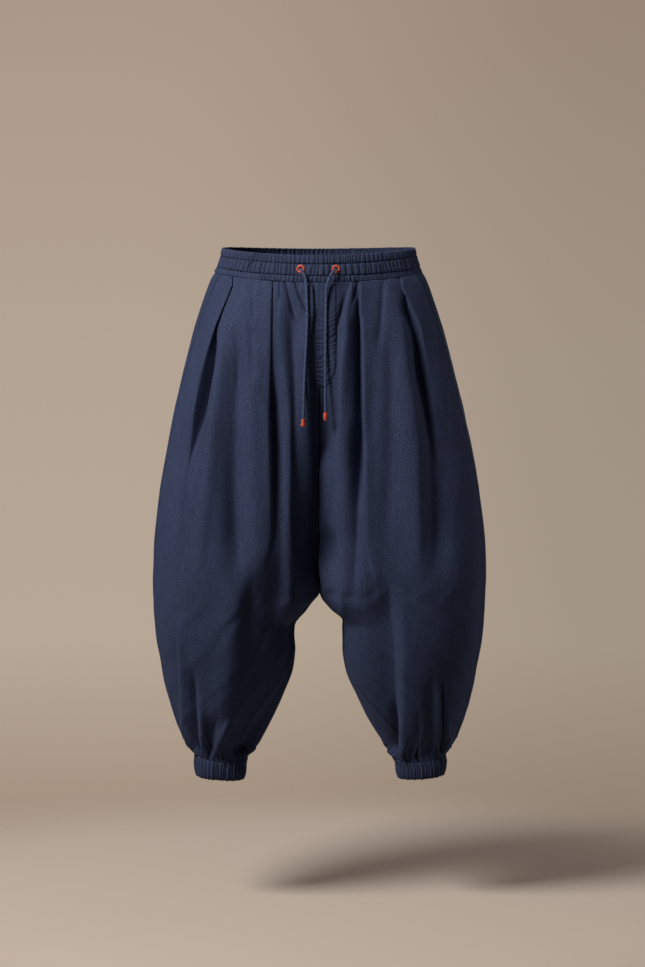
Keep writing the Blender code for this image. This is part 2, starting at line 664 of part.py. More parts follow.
def make_tip(side, route):
    """A whipped tip, in line with the end of its cord."""
    outline = TIP_OUTLINES[side]
    vertices = turned(outline, TIP_SIDES)
    count = len(outline)
    faces = []
    for a in range(TIP_SIDES):
        b = (a + 1) % TIP_SIDES
        faces += [(a * count + k, b * count + k, b * count + k + 1, a * count + k + 1)
                  for k in range(count - 1)]
    faces.append([a * count for a in range(TIP_SIDES)][::-1])
    faces.append([a * count + count - 1 for a in range(TIP_SIDES)])
    tip = make_object(f"cord_tip_{side}", vertices, faces, CORAL, 0.7)
    down = Vector(route[-1] - route[-2]).normalized()
    place = Vector(route[-1]) + down * SEAM_GAP
    tip.matrix_world = Matrix.Translation(place * MM) @ down.to_track_quat("Z", "Y").to_matrix().to_4x4()


def clear_scene():
    """Removes what the scene holds."""
    for thing in list(bpy.data.objects):
        bpy.data.objects.remove(thing, do_unlink=True)


def main():
    """Builds the trousers."""
    clear_scene()
    make_waistband()
    panels = [make_panel(panel) for panel in ("front_left", "front_right", "back_left", "back_right")]
    make_fly(panels[:2])
    for side in ("left", "right"):
        make_cuff(side)
        make_eyelet(side)
        make_tip(side, make_drawcord(side))


main()
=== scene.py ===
# %% [markdown]
# Baggy drop-crotch trousers
#
# The garment hangs filled out, as on a wearer who isn't there: a gathered waistband with a
# drawcord, balloon legs with knife pleats, and ribbed cuffs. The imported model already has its
# cut, so each step below dresses one of its solids: the cloth gets a finer skin with its folds,
# its gathers and its sewing, and a finish that is worked out from the real thing.
#
# Sizes are in millimetres until a mesh is made. A drop is a distance down from the origin, which
# is the centre of the waist. Left and right are the wearer's, so the left leg is at +X.

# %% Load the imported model
import math

import bmesh
import bpy
import numpy as np
from mathutils import Matrix, Vector
from mathutils.bvhtree import BVHTree


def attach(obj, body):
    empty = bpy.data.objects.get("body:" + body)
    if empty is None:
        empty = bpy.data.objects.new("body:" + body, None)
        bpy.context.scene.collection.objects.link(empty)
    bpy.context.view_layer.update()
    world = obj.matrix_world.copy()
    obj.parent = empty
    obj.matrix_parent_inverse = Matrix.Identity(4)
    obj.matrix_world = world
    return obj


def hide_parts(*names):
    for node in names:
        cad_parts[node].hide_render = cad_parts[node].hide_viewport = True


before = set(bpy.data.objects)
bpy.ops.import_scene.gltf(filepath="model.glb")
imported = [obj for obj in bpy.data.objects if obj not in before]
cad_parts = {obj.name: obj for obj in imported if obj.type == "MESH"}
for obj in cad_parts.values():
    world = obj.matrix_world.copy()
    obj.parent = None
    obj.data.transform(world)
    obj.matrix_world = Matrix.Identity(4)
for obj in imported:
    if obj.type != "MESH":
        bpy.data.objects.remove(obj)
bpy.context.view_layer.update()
MM = 0.001
SIDES = {"left": 1.0, "right": -1.0}
print("solids:", ", ".join(sorted(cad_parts)))

# %% [markdown]
# The camera comes first, because it decides how everything else is seen. A garment is
# photographed from far away with a long lens, which keeps its two legs the same size. It looks
# six degrees down, so that the waist is seen almost edge on and a little of its far rim shows.

# %% Camera
CAMERA_DISTANCE = 7.2
CAMERA_ELEVATION = math.radians(6.0)
CAMERA_LENS = 155.0
CAMERA_AIM = Vector((0.005, 0.0, -0.383))

camera = bpy.data.objects.new("camera", bpy.data.cameras.new("camera"))
bpy.context.scene.collection.objects.link(camera)
camera.data.lens = CAMERA_LENS
back = Vector((0.0, -math.cos(CAMERA_ELEVATION), math.sin(CAMERA_ELEVATION)))
camera.location = CAMERA_AIM + back * CAMERA_DISTANCE
camera.rotation_euler = (-back).to_track_quat("-Z", "Y").to_euler()
bpy.context.scene.camera = camera
print("camera at", tuple(round(v, 3) for v in camera.location))

# %% [markdown]
# Smooth steps, smooth curves and bell-shaped bumps are the whole toolbox here. A table says where
# something is at some places, and `through` gives it at every place between them without
# overshooting.


# %% Smooth steps and curves
NOISE_CELLS = 64


def between(low, high, value):
    """A smooth step from 0 at low to 1 at high."""
    share = np.clip((value - low) / (high - low), 0.0, 1.0)
    return share * share * (3.0 - 2.0 * share)


def mix(start, end, share):
    """A value that lies so far on the way from start to end."""
    return start + (end - start) * share


def bell(place, width):
    """A smooth bump: 1 at a place of 0, and nearly 0 two widths away."""
    return np.exp(-((place / width) ** 2))


def through(places, values, place):
    """The value at a place on a smooth curve through a table's rows, which never overshoots."""
    places = np.asarray(places, float)
    values = np.asarray(values, float)
    steps = np.diff(values) / np.diff(places)
    slopes = np.concatenate([steps[:1], np.zeros(len(steps) - 1), steps[-1:]])
    turning = steps[:-1] * steps[1:] <= 0.0
    both = steps[:-1] + steps[1:]
    slopes[1:-1] = np.where(turning, 0.0, 2.0 * steps[:-1] * steps[1:] / np.where(turning, 1.0, both))
    place = np.clip(place, places[0], places[-1])
    i = np.clip(np.searchsorted(places, place) - 1, 0, len(steps) - 1)
    wide = places[i + 1] - places[i]
    t = (place - places[i]) / wide
    start = values[i] * (1.0 + 2.0 * t) * (1.0 - t) ** 2 + slopes[i] * wide * t * (1.0 - t) ** 2
    return start + values[i + 1] * t * t * (3.0 - 2.0 * t) + slopes[i + 1] * wide * t * t * (t - 1.0)


def named(columns, row):
    """A table's row with its columns' names."""
    return dict(zip(columns, row))


def at_place(table, columns, place):
    """Every column's value at a place, which the first column gives."""
    values = list(zip(*table))
    return {name: float(through(values[0], column, place)) for name, column in zip(columns, values)}


def lengths_along(points):
    """The distance along a line of points, at each of them."""
    steps = np.linalg.norm(np.diff(points, axis=0), axis=1)
    return np.concatenate([[0.0], np.cumsum(steps)])


def at_lengths(points, along, places):
    """The points at some distances along a line, whose own points lie at the distances in along."""
    return np.stack([np.interp(places, along, column) for column in points.T], axis=1)


def paired(*parts):
    """Numbers side by side, as the parts of each point."""
    return np.stack(np.broadcast_arrays(*parts), axis=-1)


def round_turn(count):
    """Evenly spaced angles, once round."""
    return np.linspace(0.0, 2.0 * math.pi, count, endpoint=False)


def unit(vectors):
    """Vectors of length one."""
    return vectors / np.linalg.norm(vectors, axis=-1, keepdims=True)


def value_noise(x, y, seed):
    """Smooth noise from -1 to 1 whose hills are about one unit wide, the same each run."""
    lattice = np.random.default_rng(seed).uniform(-1.0, 1.0, (NOISE_CELLS, NOISE_CELLS))
    column, row = np.floor(x).astype(int), np.floor(y).astype(int)
    s, t = (v * v * (3.0 - 2.0 * v) for v in (x - column, y - row))
    columns, rows = ([(first + k) % NOISE_CELLS for k in (0, 1)] for first in (column, row))
    a, b, c, d = (lattice[i, j] for j in rows for i in columns)
    return (a + (b - a) * s) * (1.0 - t) + (c + (d - c) * s) * t


print("half way up a smooth step:", float(between(0.0, 1.0, 0.5)))

# %% [markdown]
# Every skin below is a grid of points whose columns run round a wall and close up: out over the
# outside, round the edge and back along the inside. Its rows either close into a ring, as a
# waistband's do, or end in two cut edges, as a leg panel's do. One function turns such a grid
# into a closed mesh, with a UV map in metres along and across the cloth, so that a weave keeps
# its real size wherever the cloth goes, and an attribute named gather that holds painted shade:
# how dark a point is painted in a gather, a crease, a seam or a groove. Each piece is named for
# its solid and its finish, and stands for that solid.


def make_skin(node, finish, points, uv, depth, ring):
    """A closed skin over rows of points in millimetres; uv has one more column, and row on a ring."""
    rows, columns, _ = points.shape
    r = np.arange(rows if ring else rows - 1)[:, None]
    c = np.arange(columns)[None, :]
    corners = [(r, c), (r + 1, c), (r + 1, c + 1), (r, c + 1)]
    faces = np.stack([(a % rows) * columns + b % columns for a, b in corners], axis=-1).reshape(-1, 4)
    places = np.stack([uv[a, b] for a, b in corners], axis=-2).reshape(-1, 2)
    if not ring:
        half = columns // 2
        c = np.arange(half - 1)
        for row in (0, rows - 1):
            cap = np.stack([c, c + 1, columns - 2 - c, columns - 1 - c], axis=-1)
            faces = np.concatenate([faces, row * columns + cap])
            places = np.concatenate([places, uv[row, cap].reshape(-1, 2)])
    mesh = bpy.data.meshes.new(f"{node}_{finish}")
    mesh.from_pydata((points.reshape(-1, 3) * MM).tolist(), [], faces.tolist())
    layer = mesh.uv_layers.new(name="cloth")
    layer.data.foreach_set("uv", (places * MM).astype(np.float32).ravel())
    # The gather attribute holds painted shade, from 0 for none to 1 for the darkest.
    gather = mesh.attributes.new("gather", "FLOAT", "POINT")
    gather.data.foreach_set("value", np.asarray(depth, np.float32).ravel())
    tidy = bmesh.new()
    tidy.from_mesh(mesh)
    bmesh.ops.recalc_face_normals(tidy, faces=tidy.faces)
    tidy.to_mesh(mesh)
    tidy.free()
    mesh.shade_smooth()
    return place_piece(node, finish, mesh)


def place_piece(node, finish, mesh):
    """A piece at the origin, which rides on the garment's one body and stands for a solid."""
    piece = bpy.data.objects.new(f"{node}_{finish}", mesh)
    bpy.context.scene.collection.objects.link(piece)
    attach(piece, "root")
    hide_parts(node)
    return piece


# %% [markdown]
# The drawcord is a soft braided cotton cord, 4.8 mm thick. Both of its free ends show from end
# to end, so their lengths are measured from the picture. Each leaves its eyelet, bends down over
# the waistband and hangs with a slight bow. A braid is made of strands that cross over each
# other in two sets of spirals. The tube below carries them as low relief, as real shape rather
# than only as shading.

# %% Cord routes
CORD_RADIUS = 2.4
CORD_ROUTES = {
    "right": (
        (-32, -119.4, -5.6), (-31, -124.6, -7.2), (-27.6, -128.6, -12.5),
        (-23, -130.8, -25), (-21, -135, -64), (-21.2, -139.2, -107),
        (-25.6, -142.4, -193), (-27.6, -144.2, -258),
    ),
    "left": (
        (27.7, -119.9, -5.6), (26.4, -125, -6.6), (22.6, -128.8, -10.5),
        (16.4, -130.8, -21), (11.8, -131.8, -42), (10.6, -132.4, -107), (10, -132.8, -193),
        (10, -132.9, -248),
    ),
}
ROUTE_FINENESS = 60
CORD_STEP = 1.2
CORD_SIDES = 20
CORD_END = 0.6
BRAID_STRANDS = 6
BRAID_PITCH = 13.0
BRAID_RELIEF = 0.16


def smooth_route(points, step):
    """Points at equal steps along a smooth curve through the route's own points."""
    points = np.asarray(points, float)
    padded = np.concatenate([[2 * points[0] - points[1]], points, [2 * points[-1] - points[-2]]])
    fine = []
    for a, b, c, d in zip(padded, padded[1:], padded[2:], padded[3:]):
        for t in np.linspace(0.0, 1.0, ROUTE_FINENESS, endpoint=False):
            fine.append(0.5 * (2 * b + (c - a) * t + (2 * a - 5 * b + 4 * c - d) * t**2
                               + (3 * b - a - 3 * c + d) * t**3))
    fine = np.array(fine + [points[-1]])
    along = lengths_along(fine)
    places = np.linspace(0.0, along[-1], max(2, round(along[-1] / step) + 1))
    return at_lengths(fine, along, places)


def turning_frames(route):
    """Two directions square to a route at each of its points, which don't twist along it."""
    ahead = unit(np.gradient(route, axis=0))
    across = [unit(np.cross(ahead[0], (1.0, 0.0, 0.0)))]
    for direction in ahead[1:]:
        across.append(unit(across[-1] - direction * np.dot(across[-1], direction)))
    across = np.array(across)
    return across, np.cross(ahead, across)


cords = {}
for side, points in CORD_ROUTES.items():
    route = smooth_route(points, CORD_STEP)
    along = lengths_along(route)
    across, over = turning_frames(route)
    angle = round_turn(CORD_SIDES)
    turn = 2.0 * math.pi * along[:, None] / BRAID_PITCH
    strands = np.maximum(np.sin(BRAID_STRANDS * (angle + turn)), np.sin(BRAID_STRANDS * (angle - turn)))
    radius = CORD_RADIUS + BRAID_RELIEF * (strands - 1.0)
    radius[[0, -1]] *= CORD_END
    points = route[:, None] + radius[..., None] * (
        np.cos(angle)[None, :, None] * across[:, None] + np.sin(angle)[None, :, None] * over[:, None])
    uv = paired(np.linspace(0.0, 2.0 * math.pi * CORD_RADIUS, CORD_SIDES + 1), along[:, None])
    # The braid gets painted shade, darkest where its strands dive under each other.
    cords[side] = make_skin(f"drawcord_{side}", "braid", points, uv, 0.5 - 0.5 * strands, ring=False)

# %% [markdown]
# The cut of the garment repeats the tables of its solids, so that each skin lies exactly on the
# solid that it stands for. A row of this table is a level cut through one half: how wide it is,
# where it stands furthest forward and back, how deep it is there and at the centre seams.

# %% The cut
SEAM_GAP = 0.04
CLOTH = 1.2
CUFF_DROP = 856.6
CUFF_X = 171.3
CUFF_TILT = 0.072
WAIST_SEAM_DROP = 17.7
WAIST_SEAM_DIP = 10.9
WAIST_HALF_DEPTH = 121.0
CROTCH_DROP = 570.0
WAIST_DIP_FADES = (200.0, WAIST_SEAM_DROP)
CROTCH_CLOSES = (470.0, CROTCH_DROP)
SEAM_TURNS = (500.0, CROTCH_DROP)
COLUMNS_SPREAD = (440.0, 640.0)
CUFF_TILTS = (770.0, CUFF_DROP)
CUFF_DIP = 7.0
CUFF_DIPS = (805.0, CUFF_DROP)
CUFF_HALF_DEPTH = 44.5
VALLEY_POWER = 2.5
VALLEY_NARROWNESS = 4.2
ARC_POINTS = 160
SECTION_COLUMNS = (
    "drop", "side_x", "lobe_x", "front_y", "back_y", "centre_front_y", "centre_back_y",
    "inner_x", "outer_power", "inner_power",
)
SECTIONS = (
    (17.7, 179.5, 0, 121, 121, 121, 121, 0, 2.00, 3),
    (30, 186, 24, 123, 123, 122.5, 122.5, 0, 2.02, 3),
    (65, 199.5, 52, 128, 128, 125, 125, 0, 2.05, 3),
    (134, 220.5, 82, 135, 135, 123, 126, 0, 2.12, 3),
    (203, 238, 104, 141, 142, 117, 123, 0, 2.18, 3),
    (290, 256.5, 124, 147, 149, 99, 110, 0, 2.22, 3),
    (394, 275.5, 140, 150, 154, 74, 88, 0, 2.25, 3),
    (498, 286.5, 153, 148, 153, 45, 55, 0, 2.28, 3),
    (550, 287.5, 157, 143, 148, 26, 31, 0, 2.30, 3),
    (570, 287, 158, 140, 145, 0.2, 0.2, 0, 2.30, 3),
    (601, 285, 159, 135, 140, 0.2, 0.2, 27, 2.30, 3),
    (620, 283, 160, 131.5, 136, 0.2, 0.2, 40.5, 2.30, 2.9),
    (660, 278, 160.5, 123, 127, 0.2, 0.2, 43, 2.28, 2.6),
    (705, 271, 160.5, 110, 113, 0.2, 0.2, 49, 2.25, 2.3),
    (757, 258, 163, 91, 93, 0.2, 0.2, 69, 2.18, 2.15),
    (809, 240, 168, 69, 70, 0.2, 0.2, 96, 2.08, 2.05),
    (843, 223.5, 171, 52, 52.5, 0.2, 0.2, 118.5, 2.00, 2),
    (856.6, 216.8, 171.3, 44.5, 44.5, 0.2, 0.2, 125.8, 2.00, 2),
)
SEAM_COLUMNS = ("drop", "side_forward", "inseam_forward")
SEAM_PLACES = (
    (17.7, 46, 0),
    (150, 46, 0),
    (500, 50, 0),
    (570, 49, 0),
    (660, 45, 10),
    (690, 43, 30),
    (747, 39, 55),
    (790, 32, 62),
    (823, 27, 52),
    (845, 22, 30),
    (856.6, 20, 20),
)


def quarter(section, depth, centre_depth, drop):
    """Half a section's front or back, from its inner edge to the side, with y as a depth."""
    angle = np.linspace(0.0, math.pi / 2.0, ARC_POINTS)
    inner = section["inner_x"] + SEAM_GAP / 2.0 + between(*SEAM_TURNS, drop) * CLOTH / 2.0
    lobe = section["lobe_x"]
    across = np.cos(angle)
    rise = across**VALLEY_POWER
    hollow = rise / (rise + (VALLEY_NARROWNESS * (1.0 - across)) ** VALLEY_POWER)
    power = section["inner_power"]
    rounded = 1.0 - (1.0 - across**power) ** (1.0 / power)
    fall = mix(hollow, rounded, between(*CROTCH_CLOSES, drop))
    inward = paired(mix(lobe, inner, across), mix(depth, centre_depth, fall))
    power = 2.0 / section["outer_power"]
    outward = mix(lobe, section["side_x"], np.sin(angle) ** power)
    outward = paired(outward, depth * np.cos(angle) ** power)
    outward[-1, 1] = 0.0
    if lobe <= inner:
        return outward
    return np.concatenate([inward[:-1], outward])


def panel_curve(face, drop):
    """A panel's section from its inner seam to its side seam, on the side where x is positive."""
    section = at_place(SECTIONS, SECTION_COLUMNS, drop)
    seams = at_place(SEAM_PLACES, SEAM_COLUMNS, drop)
    front = quarter(section, section["front_y"], section["centre_front_y"], drop)
    front[:, 1] *= -1.0
    along = lengths_along(front)
    start = seams["inseam_forward"]
    end = along[-1] - seams["side_forward"]

    def cut(low, high):
        """The section between two distances along it."""
        places = np.concatenate([[low], along[(along > low) & (along < high)], [high]])
        return at_lengths(front, along, places)

    if face == "front":
        return cut(start, end)
    back = quarter(section, section["back_y"], section["centre_back_y"], drop)
    pieces = [back[:-1], cut(end, along[-1])[::-1]]
    if start > 0.0:
        pieces.insert(0, cut(0.0, start)[::-1][:-1])
    return np.concatenate(pieces)


for drop in (100.0, 400.0, 700.0):
    width = lengths_along(panel_curve("front", drop))[-1]
    print("front panel's width at a drop of", drop, "mm:", round(width))

# %% [markdown]
# A knife pleat is a flat fold pressed to one side: the cloth runs under itself, turns back, turns
# again and goes on, in three layers. It is sewn down at the waist and opens below into a soft
# valley with a lip beside it. Both forms are short lists of points across the pleat, and the
# cloth goes smoothly from one to the other on its way down. All the pleats face the centre.

# %% Pleats
CREASE_STEP = 2.8
TUCK = 8.0
OPENING_START = 0.3
PLEAT_DROPS = (30, 110, 200, 325, 411)
PLEAT_COLUMNS = (
    "x_30", "x_110", "x_200", "x_325", "x_411",
    "flat_to", "open_at", "fades_from", "faded_at", "valley", "lip", "under",
)
PLEATS = {
    "front_right": (
        (82, 83.5, 84, 82, 80, 110, 270, 280, 540, 18, 7, 0),
        (149, 179, 201, 221, 233, 36, 190, 220, 362, 24, 5, 0),
    ),
    "front_left": (
        (69, 70, 71.5, 74.5, 77, 30, 110, 330, 620, 14, 5, 4),
        (141, 176, 198, 213, 222, 18, 84, 170, 360, 20, 1.5, 3),
    ),
    "back_right": (
        (76, 80, 84, 88, 90, 90, 240, 320, 600, 15, 6, 0),
        (146, 166, 186, 203, 212, 40, 130, 230, 480, 17, 5, 0),
    ),
    "back_left": (
        (74, 77, 80, 85, 88, 80, 250, 330, 610, 15, 6, 0),
        (142, 164, 184, 199, 206, 36, 120, 240, 500, 17, 5, 0),
    ),
}
FLAT_PLEAT = (
    (-9.0, -0.6), (TUCK, -1.0), (TUCK + 1.3, -0.5), (TUCK, 0.0), (-1.3, 0.5), (2.5, 1.0), (20.0, 0.1),
)
OPEN_PLEAT = (
    (-30.0, -0.1), (-14.0, -0.6), (-3.6, -1.0), (-1.2, -0.75), (1.2, 0.6), (5.0, 0.85), (22.0, 0.15),
)
UNDERCUT = (0.0, 0.5, 1.0, 0.9, 0.0, 0.0, 0.0)
INNER_COLUMNS = 8
MIDDLE_COLUMNS = 2
OUTER_COLUMNS = 2
EDGE_COLUMNS = (0.02, 0.8, 1.8, 3.0, 3.9, 4.6, 5.3, 6.4)
EDGE_WIDTH = 8.4


def pleat_points(pleat, drop, edge):
    """A pleat's columns as places along the section and heights."""
    flat = np.array(FLAT_PLEAT)
    opened = np.array(OPEN_PLEAT)
    closed = 1.0 - between(pleat["flat_to"], pleat["open_at"], drop)
    left = 1.0 - between(pleat["fades_from"], pleat["faded_at"], drop)
    grown = mix(OPENING_START, 1.0, between(WAIST_SEAM_DROP, pleat["open_at"], drop))
    depth = np.where(opened[:, 1] < 0.0, pleat["valley"], pleat["lip"]) * left * grown
    under = pleat["under"] * left * grown * np.array(UNDERCUT)
    places = closed * flat[:, 0] + (1.0 - closed) * (opened[:, 0] + under)
    heights = closed * flat[:, 1] * CREASE_STEP + (1.0 - closed) * opened[:, 1] * depth
    return edge + places, heights


def panel_columns(panel, drop, curve, along, finer):
    """Places along a panel's section and heights off it, with finer points between its columns."""
    low = EDGE_WIDTH
    high = along[-1] - EDGE_WIDTH
    count = INNER_COLUMNS + MIDDLE_COLUMNS + OUTER_COLUMNS + 2 * len(FLAT_PLEAT)
    even = np.linspace(low, high, count)
    if drop >= COLUMNS_SPREAD[1]:
        places, heights = even, np.zeros(count)
    else:
        parts = []
        for row in PLEATS[panel]:
            pleat = named(PLEAT_COLUMNS, row)
            x = through(PLEAT_DROPS, [pleat[f"x_{d}"] for d in PLEAT_DROPS], drop)
            parts.append(pleat_points(pleat, drop, np.interp(x, curve[:, 0], along)))
        first, second = parts
        inner = np.linspace(low, first[0][0], INNER_COLUMNS + 1)[:-1]
        middle = np.linspace(first[0][-1], second[0][0], MIDDLE_COLUMNS + 2)[1:-1]
        outer = np.linspace(second[0][-1], high, OUTER_COLUMNS + 1)[1:]
        places = np.concatenate([inner, first[0], middle, second[0], outer])
        zeros = [np.zeros(n) for n in (INNER_COLUMNS, MIDDLE_COLUMNS, OUTER_COLUMNS)]
        heights = np.concatenate([zeros[0], first[1], zeros[1], second[1], zeros[2]])
        places = mix(places, even, between(*COLUMNS_SPREAD, drop))
    index = np.arange(count)
    fine = np.linspace(0, count - 1, finer * (count - 1) + 1)
    edge = np.array(EDGE_COLUMNS)
    flat = np.zeros_like(edge)
    places = np.concatenate([edge, through(index, places, fine), along[-1] - edge[::-1]])
    heights = np.concatenate([flat, through(index, heights, fine), flat])
    return places, heights


print("pleats:", sum(len(rows) for rows in PLEATS.values()), "on", len(PLEATS), "panels")

# %% [markdown]
# Loose cloth that hangs from a gathered seam falls into soft folds, no two alike. A folded-up
# rule couldn't give them, so they are listed one by one: each row is one ridge or trough, with its
# two ends, how wide it is on its inner and outer side, and how high it stands. A narrow side
# makes a crisp edge and a wide one a soft slope. The hidden back has similar ones.

# %% Folds listed one by one
FOLD_GROWN = 0.22
FOLD_FADES = 0.72
FOLD_EDGE = 3.5
CALF_FOLD_EDGE = 32.0
CALF_STARTS = (572.0, 630.0)
AT_WAIST_SEAM = 0.3
UNDER_WAIST_SEAM = 27.0
ABOVE_CUFF_SEAM = 834.0
# Narrow troughs also get painted shade along their floor.
CREASE_NARROW = 7.5
CREASE_SHADE = 0.75
CREASE_SHARPNESS = 2.0
FOLD_COLUMNS = ("x_start", "x_middle", "x_end", "start", "end", "inner_width", "outer_width", "height")
FOLDS = {
    "front_right": (
        # Under the waist seam.
        (114, 114, 113, -20, 100, 5, 4, -3),
        (69.5, 68.8, 68.5, -20, 60, 2, 2.4, -2.6),
        (72, 53, 35, -30, 110, 2.2, 4, -4.4),
        (56, 36, 8, -30, 100, 2, 3.4, -3.8),
        # The thigh.
        (22, 11.6, 32, -60, 175, 2, 12, 5),
        (27, 20.5, 20, 80, 560, 4, 7.5, 8.5),
        (50, 38, 30, 20, 520, 10, 11, -10),
        (36, 34, 30, 380, 620, 26, 7, -10),
        (82, 64, 61, 120, 700, 14, 24, -12),
        (178, 198, 212, 110, 300, 4.2, 3, -4),
        (144, 143.5, 143, 85, 240, 6, 5, -3.2),
        (116, 115, 114, 85, 210, 6, 5, -3.4),
        (143, 143, 133, 90, 580, 18, 22, -19),
        (164, 184, 206, 80, 540, 10, 14, 6.5),
        (208, 229, 248, 200, 520, 12, 5, 3.5),
        (212, 224, 230, 240, 470, 8, 6, -3.5),
        # The calf.
        (108, 119, 132, 480, 940, 45, 15, -14),
        (60, 80, 150, 480, 960, 40, 38, -12),
        (138, 158, 178, 500, 900, 18, 22, 6),
        (236, 234, 230, 600, 840, 8, 4, 4.2),
        (216, 212, 210, 680, 940, 6, 7, -8),
        (203, 200, 198, 740, 940, 6, 5, 4),
        (176, 194, 206, 765, 950, 9, 14, -10),
        (150, 187, 226, 772, 940, 11, 6, 5),
        (142, 144, 146, 760, 960, 6, 9, -3.5),
    ),
    "front_left": (
        # Under the waist seam.
        (64, 45, 28, -30, 110, 4, 2.2, -4.2),
        (72, 66, 57, -20, 58, 2.8, 2, -3.6),
        (113, 109, 99, -30, 160, 7, 4, -3.2),
        # The thigh.
        (7, 7, 8, 290, 588, 2.4, 14, 13),
        (43, 40, 35, -20, 150, 8, 5, -3.5),
        (30, 29, 28, 60, 340, 12, 4.5, -7.5),
        (56, 37, 35, -60, 610, 6, 14, 5),
        (24, 24, 24, 440, 596, 14, 8, -8),
        (37, 38, 39, 460, 618, 2.4, 36, 3.6),
        (71, 71, 69, 60, 440, 10, 2.8, -10),
        (67.5, 67.5, 67.5, 2, 280, 3.6, 1.8, -5.5),
        (66, 58, 56, 250, 606, 12, 10, -12),
        (79, 81, 79, 300, 660, 6, 24, 1.5),
        (122, 122, 110, 70, 500, 12, 14, -4.5),
        (128, 165, 172, 20, 560, 22, 7, 6),
        (160, 201, 207, 90, 560, 20, 26, -18),
        (214, 238, 250, 120, 560, 16, 14, -3),
        # The calf.
        (112, 128, 122, 518, 940, 45, 10, -18),
        (128, 122, 117, 740, 940, 10, 4, -9),
        (141, 148, 134, 500, 940, 9, 40, 3.2),
        (170, 169, 168, 760, 960, 7, 6, -4.5),
        (193, 192, 191, 690, 960, 10, 7, -6),
        (207, 207, 205, 715, 965, 6, 3, 2.5),
        (211, 211, 210, 690, 965, 3, 4, -7.5),
        (218, 217, 216, 762, 965, 4, 5, 3.5),
    ),
    "back_right": (
        (40, 38, 36, 60, 600, 12, 12, 5),
        (58, 55, 50, 60, 600, 9, 9, -6),
        (118, 124, 130, 90, 520, 14, 16, -6),
        (150, 160, 172, 90, 500, 12, 10, 4),
        (190, 214, 232, 200, 560, 10, 12, 3.5),
        (128, 146, 168, 540, 900, 22, 16, -8),
        (160, 176, 200, 560, 900, 12, 18, 5),
        (100, 106, 128, 600, 890, 14, 10, 4),
    ),
    "back_left": (
        (34, 36, 38, 60, 600, 12, 12, 5),
        (54, 53, 48, 70, 620, 9, 9, -6.5),
        (112, 118, 128, 100, 540, 16, 14, -6),
        (142, 156, 166, 80, 480, 10, 12, 4),
        (196, 218, 236, 180, 560, 10, 12, 3.5),
        (118, 128, 150, 530, 900, 20, 16, -8),
        (150, 162, 184, 540, 900, 12, 20, 5.5),
        (206, 204, 200, 660, 890, 9, 8, -3.5),
    ),
}


def fold_shapes(panel, x, drop):
    """The folds that a panel has at a drop, each with its strength from 0 to 1 at distances x."""
    for row in FOLDS[panel]:
        fold = named(FOLD_COLUMNS, row)
        share = (drop - fold["start"]) / (fold["end"] - fold["start"])
        if not 0.0 < share < 1.0:
            continue
        fade = between(0.0, FOLD_GROWN, share) * between(1.0, FOLD_FADES, share)
        path = [fold[f"x_{part}"] for part in ("start", "middle", "end")]
        centre = through((0.0, 0.5, 1.0), path, share)
        width = np.where(x < centre, fold["inner_width"], fold["outer_width"])
        yield fold, fade * bell(x - centre, width)


def folds_round(side, x, y, drop):
    """A leg's folds round its section: the front's where y is negative, and the back's elsewhere."""
    for panel, here in ((f"front_{side}", y < 0.0), (f"back_{side}", y >= 0.0)):
        for fold, shape in fold_shapes(panel, x, drop):
            yield fold, shape * here


def fold_height(side, x, y, drop):
    """How far the folds move a leg's cloth out; they die out at its edges and at the cuff's seam."""
    section = at_place(SECTIONS, SECTION_COLUMNS, drop)
    moves = (fold["height"] * shape for fold, shape in folds_round(side, x, y, drop))
    total = sum(moves, np.zeros_like(x))
    from_inside = np.hypot(x - section["inner_x"], y * (drop > CROTCH_DROP))
    from_side = np.hypot(x - section["side_x"], y)
    reach = mix(FOLD_EDGE, CALF_FOLD_EDGE, between(*CALF_STARTS, drop))
    sewn = mix(AT_WAIST_SEAM, 1.0, between(WAIST_SEAM_DROP, UNDER_WAIST_SEAM, drop))
    sewn = sewn * between(CUFF_DROP, ABOVE_CUFF_SEAM, drop)
    return total * between(0.0, reach, from_inside) * between(0.0, FOLD_EDGE, from_side) * sewn


def crease_shade(side, x, y, drop):
    """The painted shade along narrow creases, from 0 to 1, at places round a leg's section."""
    shade = np.zeros_like(x)
    for fold, shape in folds_round(side, x, y, drop):
        narrow = fold["inner_width"] + fold["outer_width"] < CREASE_NARROW
        if narrow and fold["height"] < 0.0:
            shade = np.maximum(shade, CREASE_SHADE * shape**CREASE_SHARPNESS)
    return shade


print("folds placed by hand:", {panel: len(rows) for panel, rows in FOLDS.items()})

# %% [markdown]
# Cloth also has small unevenness that nobody places: slow swells down its length, and puckers
# where a seam or an elastic draws it in. Those are smooth noise stretched along the leg, and
# gathers with uneven spacing that fade out within a hand's width of the cuff.

# %% Swells, puckers and gathers
SWELL_WIDTH = 17.0
SWELL_LENGTH = 120.0
SWELL_HEIGHT = 0.9
PUCKER_LENGTH = 13.0
PUCKER_WIDTH = 40.0
PUCKER_HEIGHT = 0.45
PUCKER_STARTS = 3.0
PUCKER_REACH = 14.0
SEAM_STITCH_PLACE = 4.6
SEAM_STITCH_DEPTH = 0.45
SEAM_STITCH_WIDTH = 0.9
TOPSTITCHED = "back"
SEAM_ROLL = 1.4
SEAM_ROLL_WIDTH = 1.6
SEAM_ROLL_REACH = 7.0
SEAM_SHADE_WIDTH = 1.3
WAIST_GATHER = 0.9
WAIST_GATHERS = (52.0, WAIST_SEAM_DROP)
WAIST_GATHER_WIDTH = 2.6
WAIST_GATHER_LENGTH = 30.0
WAIST_GATHERED = {
    "front_right": (100.0, 88.0), "front_left": (66.0, 56.0),
    "back_right": (170.0, 160.0), "back_left": (170.0, 160.0),
}
GATHER_STARTS = 4.0
HEM_GATHER = 2.6
HEM_GATHERS = (775.0, CUFF_DROP)
HEM_GATHER_COUNT = 24.0
HEM_GATHER_UNEVEN = 0.5
HEM_GATHER_UNEVEN_WIDTH = 30.0
HEM_RIPPLE = 2.4
